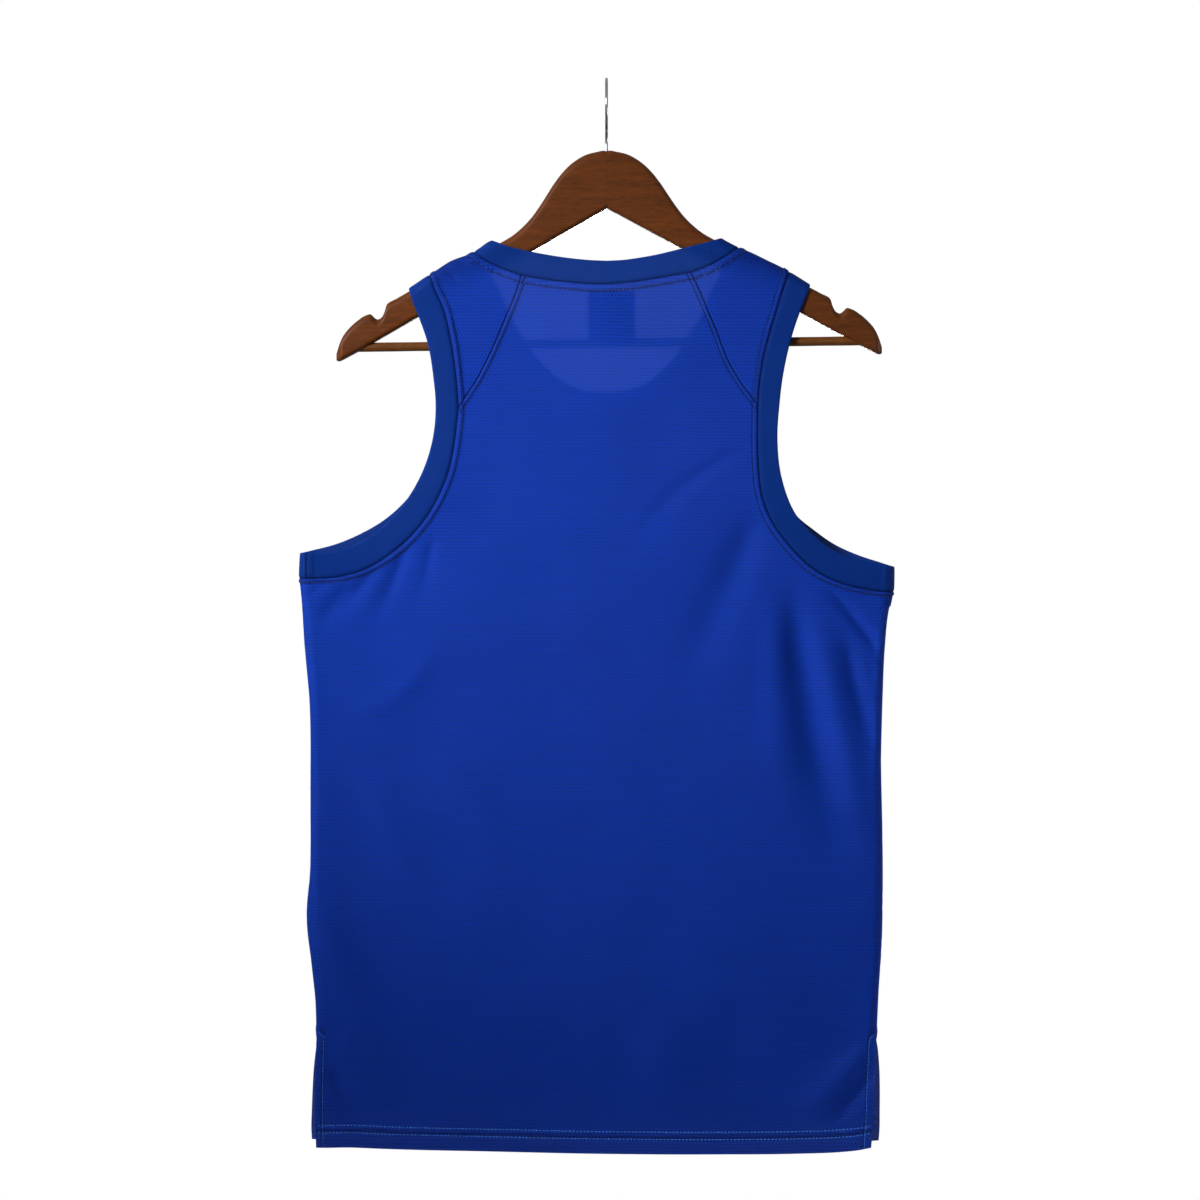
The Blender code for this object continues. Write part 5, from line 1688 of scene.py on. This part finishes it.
class TRAININGTOP_OT_stitches(bpy.types.Operator):
    """Sew the rows of stitches along seams, hems and vents"""

    bl_idname = "training_top.stitches"
    bl_label = "Stitches"

    def execute(self, context):
        cloth = context.scene.training_top_cloth
        wall, pitch, radius = cloth.panel_wall / MM, cloth.stitch_pitch / MM, cloth.stitch_radius / MM

        def sew(rows, form, edge, inset, part=slice(None), thick=1.0):
            grid, normal, relief, _ = form
            points, facing = edge_line(grid, normal, wall / 2 + relief, edge, inset)
            rows.append(stitch_row(points[part], facing[part], pitch, radius * thick))

        diagonal, arm, vent = stretches()
        slim = narrowing(np.linspace(0, 1, arm.stop - arm.start))
        for face, name in ((-1, "back"), (1, "front")):
            form = panel_form(face)
            rows, hems = [], []
            arm_inset = np.full(len(form[0]), ARM_STRIP[0] - NEEDLE_INSET)
            arm_inset[arm] *= slim
            sew(rows, form, "top", NECK_STRIP[0] - NEEDLE_INSET)
            for needle in HEM_NEEDLES:
                sew(hems, form, "bottom", needle, slice(HEM_SKIP, -HEM_SKIP), HEM_THREAD)
            for edge in ("left", "right"):
                sew(rows, form, edge, DIAGONAL_STRIP[0] - NEEDLE_INSET, slice(DIAGONAL_SKIP, diagonal.stop))
                sew(rows, form, edge, arm_inset, arm)
                sew(hems, form, edge, VENT_STRIP[0] - NEEDLE_INSET, vent)
            for ends in VENT_BARS:
                hems.append(self.bar(ends, face, pitch * TACK_PITCH, radius * HEM_THREAD, wall))
            self.add("stitches_" + name, rows)
            self.add("hem_stitches_" + name, hems)
        self.add("stitches_neck_join", [self.bar(NECK_JOIN, -1, pitch * JOIN_PITCH, radius, JOIN_WALL)])
        for side, name in ((-1, "left"), (1, "right")):
            rows = []
            sew(rows, shoulder_form(side), "left", NECK_STRIP[0] - NEEDLE_INSET)
            sew(rows, shoulder_form(side), "right", ARM_STRIP[0] - NEEDLE_INSET)
            self.add("stitches_shoulder_" + name, rows)
        return {"FINISHED"}

    def bar(self, ends, face, pitch, radius, wall):
        """Return a short row of stitches straight across the cloth between two ends, x and z."""
        share = np.linspace(0, 1, TACK_POINTS)[:, None]
        flat = np.array(ends[0]) * (1 - share) + np.array(ends[1]) * share
        points = place(flat, face)
        points[:, 1] += face * (wall / 2 + TACK_LIFT)
        return stitch_row(points, np.repeat(((0.0, float(face), 0.0),), len(points), axis=0), pitch, radius)

    def add(self, name, rows):
        """Join the rows into one piece of thread."""
        piece = ring_mesh(name, np.concatenate(rows))
        piece.data.materials.append(thread_material(name.startswith("hem")))


def arm_sections(stations):
    """Return the rings round one arm, y and z, with its distance out, from the glue line to the tip.

    Each ring is an upright cut: straight faces, joined above and below by quarter circles.
    """
    rows = path(ARM_ROWS)(np.linspace(0, 1, stations))
    out, top, bottom = rows.T
    thinner, start, reach = TIP_THINNING
    thick = ARM_THICK / 2 * (1 - thinner * smooth((out - start) / reach))
    room = np.minimum((top - bottom) * RIDGE_COS / 2, thick) * ROUND_ROOM
    high, low = (np.minimum(rounded, room)[:, None] for rounded in (ARM_TOP_ROUND, ARM_UNDER_ROUND))
    turn = np.radians(np.linspace(0, 90, ROUND_POINTS))[None]
    upper_y = thick[:, None] - high + high * np.sin(turn)
    upper_z = top[:, None] - high * (1 - np.cos(turn)) / RIDGE_COS
    lower_y = (thick[:, None] - low + low * np.sin(turn))[:, ::-1]
    lower_z = (bottom[:, None] + low * (1 - np.cos(turn)) / RIDGE_COS)[:, ::-1]
    flank = np.linspace(0, 1, FLANK_POINTS)[None, 1:-1]
    flank_z = upper_z[:, -1:] * (1 - flank) + lower_z[:, :1] * flank
    flank_y = np.repeat(thick[:, None], flank.shape[1], axis=1)
    y = np.concatenate((upper_y, flank_y, lower_y), axis=1)
    z = np.concatenate((upper_z, flank_z, lower_z), axis=1)
    return out, np.concatenate((y, -y[:, ::-1]), axis=1), np.concatenate((z, z[:, ::-1]), axis=1)


def rod(centres, radius, sides):
    """Return rings of a round rod along centres in one upright plane.

    radius is one number for each centre.
    """
    along = unit(np.gradient(centres, axis=0))
    square = np.array((1.0, 0.0, 0.0)) if np.ptp(centres[:, 0]) < 1e-6 else np.array((0.0, 1.0, 0.0))
    other = np.cross(along, square)
    turns = np.linspace(0, 2 * math.pi, sides, endpoint=False)[None, :, None]
    round_it = np.cos(turns) * square + np.sin(turns) * other[:, None]
    return centres[:, None] + radius[:, None, None] * round_it


def rod_lay(rings):
    """Return lay for a rod: along it, and round it, in metres."""
    count, around = rings.shape[:2]
    along = np.repeat(lengths(rings.mean(axis=1))[:, None], around, axis=1)
    turn = np.linspace(0, 2 * math.pi, around, endpoint=False)[None]
    about = np.repeat(np.abs(turn - math.pi), count, axis=0) * BAR_RADIUS
    return np.stack((along, about), axis=-1).reshape(-1, 2) * MM


def rounded_ends(radius, run, reach):
    """Return a radius for each place along a rod, a quarter circle at each end."""
    near = np.minimum(run, run[-1] - run) / reach
    return radius * np.sqrt(np.clip(1 - (1 - np.clip(near, 0, 1)) ** 2, 0.02, 1))


def hook_line(count):
    """Return the wire's centre line: up the shank, a small bend, then round the loop to the tip."""
    radius = HOOK_INNER_RADIUS + WIRE_RADIUS
    start = math.radians(HOOK_START)
    turn = start - math.pi
    bend = -radius * math.cos(start) / (1 - math.cos(turn))
    bend_low = -HOOK_INNER_RADIUS + radius * math.sin(start) - bend * math.sin(turn)
    shank = np.linspace(HANGER_CENTRE[1] - SHANK_DEPTH, bend_low, count // 3)[:-1]
    elbow = np.linspace(0, turn, count // 3)[:-1]
    loop = np.radians(np.linspace(HOOK_START, HOOK_END, count))
    y = np.concatenate((0 * shank, -bend * (1 - np.cos(elbow)), radius * np.cos(loop)))
    z = np.concatenate((shank, bend_low + bend * np.sin(elbow), -HOOK_INNER_RADIUS + radius * np.sin(loop)))
    return np.stack((0 * y, y, z), axis=-1)


class TRAININGTOP_OT_hanger(bpy.types.Operator):
    """Make the hanger: two arms, the bar and the hook"""

    bl_idname = "training_top.hanger"
    bl_label = "Hanger"

    def execute(self, context):
        hanger = context.scene.training_top_hanger
        wood = wood_material("stained arms", tuple(hanger.wood_colour), 0.75, 0.42, 0.08)
        out, y, z = arm_sections(hanger.arm_stations)
        for side, name in ((-1, "left"), (1, "right")):
            x, height = tilt(np.repeat(side * out[:, None], y.shape[1], axis=1), z)
            rings = np.stack((x, y, height), axis=-1)
            along = np.repeat(lengths(rings.mean(axis=1))[:, None], y.shape[1], axis=1)
            lay = np.stack((along + GRAIN_SHIFT * (side + 1), z * GRAIN_LEAN + y), axis=-1) * MM
            piece = ring_mesh("arm_" + name, rings, lay.reshape(-1, 2), crease=SOLID_CREASE)
            piece.data.materials.append(wood)
            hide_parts("hanger_arm_" + name)
        self.make_bar(hanger)
        self.make_hook()
        return {"FINISHED"}

    def make_bar(self, hanger):
        """Make the round bar between the arms."""
        x, z = tilt(np.linspace(-BAR_HALF, BAR_HALF, BAR_STATIONS), np.full(BAR_STATIONS, BAR_DROP))
        centres = np.stack((x, 0 * x, z), axis=-1)
        run = lengths(centres)
        radius = BAR_RADIUS * (1 + sum(share * np.cos(run / length) for share, length in BAR_STRAY))
        rings = rod(centres, np.minimum(radius, BAR_RADIUS), BAR_SIDES)
        piece = ring_mesh("trouser_bar", rings, rod_lay(rings), crease=SOLID_CREASE)
        piece.data.materials.append(wood_material("pale bar", tuple(hanger.bar_colour), 1.1, 0.45, 0.05))
        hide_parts("hanger_bar")

    def make_hook(self):
        """Make the bent wire hook."""
        centres = hook_line(HOOK_POINTS)
        run = lengths(centres)
        rings = rod(centres, rounded_ends(WIRE_RADIUS * WIRE_SLIM, run, WIRE_RADIUS), HOOK_SIDES)
        piece = ring_mesh("wire_hook", rings, rod_lay(rings), crease=SOLID_CREASE)
        piece.data.materials.append(wire_material())
        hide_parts("hanger_hook")


class TRAININGTOP_OT_stage(bpy.types.Operator):
    """Set up the pale floor, the soft lights and the camera"""

    bl_idname = "training_top.stage"
    bl_label = "Floor, light and camera"

    def execute(self, context):
        stage = context.scene.training_top_stage
        context.scene.view_settings.view_transform = "Standard"
        self.make_floor(stage)
        self.make_sky(context.scene, stage.sky_strength)
        self.add_light("key light", *KEY_LIGHT, stage.key_power, KEY_SPREAD)
        self.add_light("fill light", *FILL_LIGHT, stage.fill_power)
        self.add_light("back light", *BACK_LIGHT, stage.back_power)
        camera = bpy.data.cameras.new("photo view")
        camera.lens = stage.focal_length
        camera.sensor_width = SENSOR_WIDTH
        eye = bpy.data.objects.new("photo view", camera)
        eye.location = CAMERA_PLACE
        eye.rotation_euler = (math.pi / 2, 0.0, 0.0)
        context.scene.collection.objects.link(eye)
        context.scene.camera = eye
        return {"FINISHED"}

    def make_floor(self, stage):
        """Make the floor: a flat disc, its radius a function of the ring and its angle of the spoke."""
        count, around = FLOOR_CELLS
        turns = np.linspace(0, 2 * math.pi, around, endpoint=False)
        rings, spokes = np.meshgrid(np.linspace(*FLOOR_RADII, count), turns)
        height = np.full(rings.shape, stage.floor_height)
        points = np.stack((rings * np.cos(spokes), rings * np.sin(spokes), height), axis=-1)
        inner_ring = np.arange(around)[::-1] * count
        faces = skin_quads(around, count, True).tolist() + [inner_ring.tolist()]
        mesh = bpy.data.meshes.new("floor")
        mesh.from_pydata(points.reshape(-1, 3).tolist(), [], faces)
        floor = bpy.data.objects.new("floor", mesh)
        bpy.context.scene.collection.objects.link(floor)
        material, tree, shader = new_material("pale floor", stage.floor_colour, Roughness=0.7)
        at = node(tree, "ShaderNodeTexCoord").outputs["Object"]
        shade = spread_out(tree, noise(tree, at, 3.0, 4.0), 0.2, 0.8, 0.97, 1.02)
        tree.links.new(tinted(tree, tuple(stage.floor_colour), shade), shader.inputs["Base Color"])
        mesh.materials.append(material)

    def make_sky(self, scene, strength):
        """Make the even white surroundings: full white where seen, half in reflections, dimmer as light."""
        world = bpy.data.worlds.new("white room")
        world.use_nodes = True
        tree = world.node_tree
        seen = tree.nodes["Background"]
        seen.inputs["Color"].default_value = WHITE
        seen.inputs["Strength"].default_value = 1.0
        lit = node(tree, "ShaderNodeBackground", {"Color": WHITE, "Strength": strength})
        ray = node(tree, "ShaderNodeLightPath").outputs
        mirrored = calc(tree, "MULTIPLY", ray["Is Glossy Ray"], 0.5)
        bright = calc(tree, "MAXIMUM", ray["Is Camera Ray"], mirrored)
        mix = node(tree, "ShaderNodeMixShader", {0: bright, 1: lit.outputs[0], 2: seen.outputs[0]})
        tree.links.new(mix.outputs[0], tree.nodes["World Output"].inputs["Surface"])
        scene.world = world

    def add_light(self, name, place_at, aim, size, power, spread=180.0):
        """Add a round soft light at a place, turned to its aim. Its beam fades out at half the spread."""
        light = bpy.data.lights.new(name, "AREA")
        light.shape = "DISK"
        light.size = size
        light.energy = power
        light.spread = math.radians(spread)
        lamp = bpy.data.objects.new(name, light)
        lamp.location = place_at
        away = np.array(place_at) - np.array(aim)
        flat = math.hypot(away[0], away[1])
        lamp.rotation_euler = (math.atan2(flat, away[2]), 0.0, math.atan2(away[0], -away[1]))
        bpy.context.scene.collection.objects.link(lamp)


STEPS = (
    TRAININGTOP_OT_panels,
    TRAININGTOP_OT_shoulders,
    TRAININGTOP_OT_bands,
    TRAININGTOP_OT_label,
    TRAININGTOP_OT_stitches,
    TRAININGTOP_OT_hanger,
    TRAININGTOP_OT_stage,
)
SETTINGS = {
    "training_top_cloth": TrainingTopCloth,
    "training_top_hanger": TrainingTopHanger,
    "training_top_stage": TrainingTopStage,
}


class TRAININGTOP_PT_sidebar(bpy.types.Panel):
    """Lists the sizes, the colours and the steps"""

    bl_label = "Training Top"
    bl_idname = "TRAININGTOP_PT_sidebar"
    bl_space_type = "VIEW_3D"
    bl_region_type = "UI"
    bl_category = "Training Top"

    def draw(self, context):
        for name, group in SETTINGS.items():
            box = self.layout.box()
            for label in group.__annotations__:
                box.prop(getattr(context.scene, name), label)
        for step in STEPS:
            self.layout.operator(step.bl_idname)


def register():
    """Register the settings, the operators and the sidebar."""
    for name, group in SETTINGS.items():
        bpy.utils.register_class(group)
        setattr(bpy.types.Scene, name, PointerProperty(type=group))
    for step in STEPS:
        bpy.utils.register_class(step)
    bpy.utils.register_class(TRAININGTOP_PT_sidebar)


def unregister():
    """Take everything back out."""
    bpy.utils.unregister_class(TRAININGTOP_PT_sidebar)
    for step in reversed(STEPS):
        bpy.utils.unregister_class(step)
    for name, group in reversed(SETTINGS.items()):
        delattr(bpy.types.Scene, name)
        bpy.utils.unregister_class(group)


def main():
    """Make every piece and the stage."""
    register()
    bpy.ops.training_top.panels()
    bpy.ops.training_top.shoulders()
    bpy.ops.training_top.bands()
    bpy.ops.training_top.label()
    bpy.ops.training_top.stitches()
    bpy.ops.training_top.hanger()
    bpy.ops.training_top.stage()


if __name__ == "__main__":
    main()
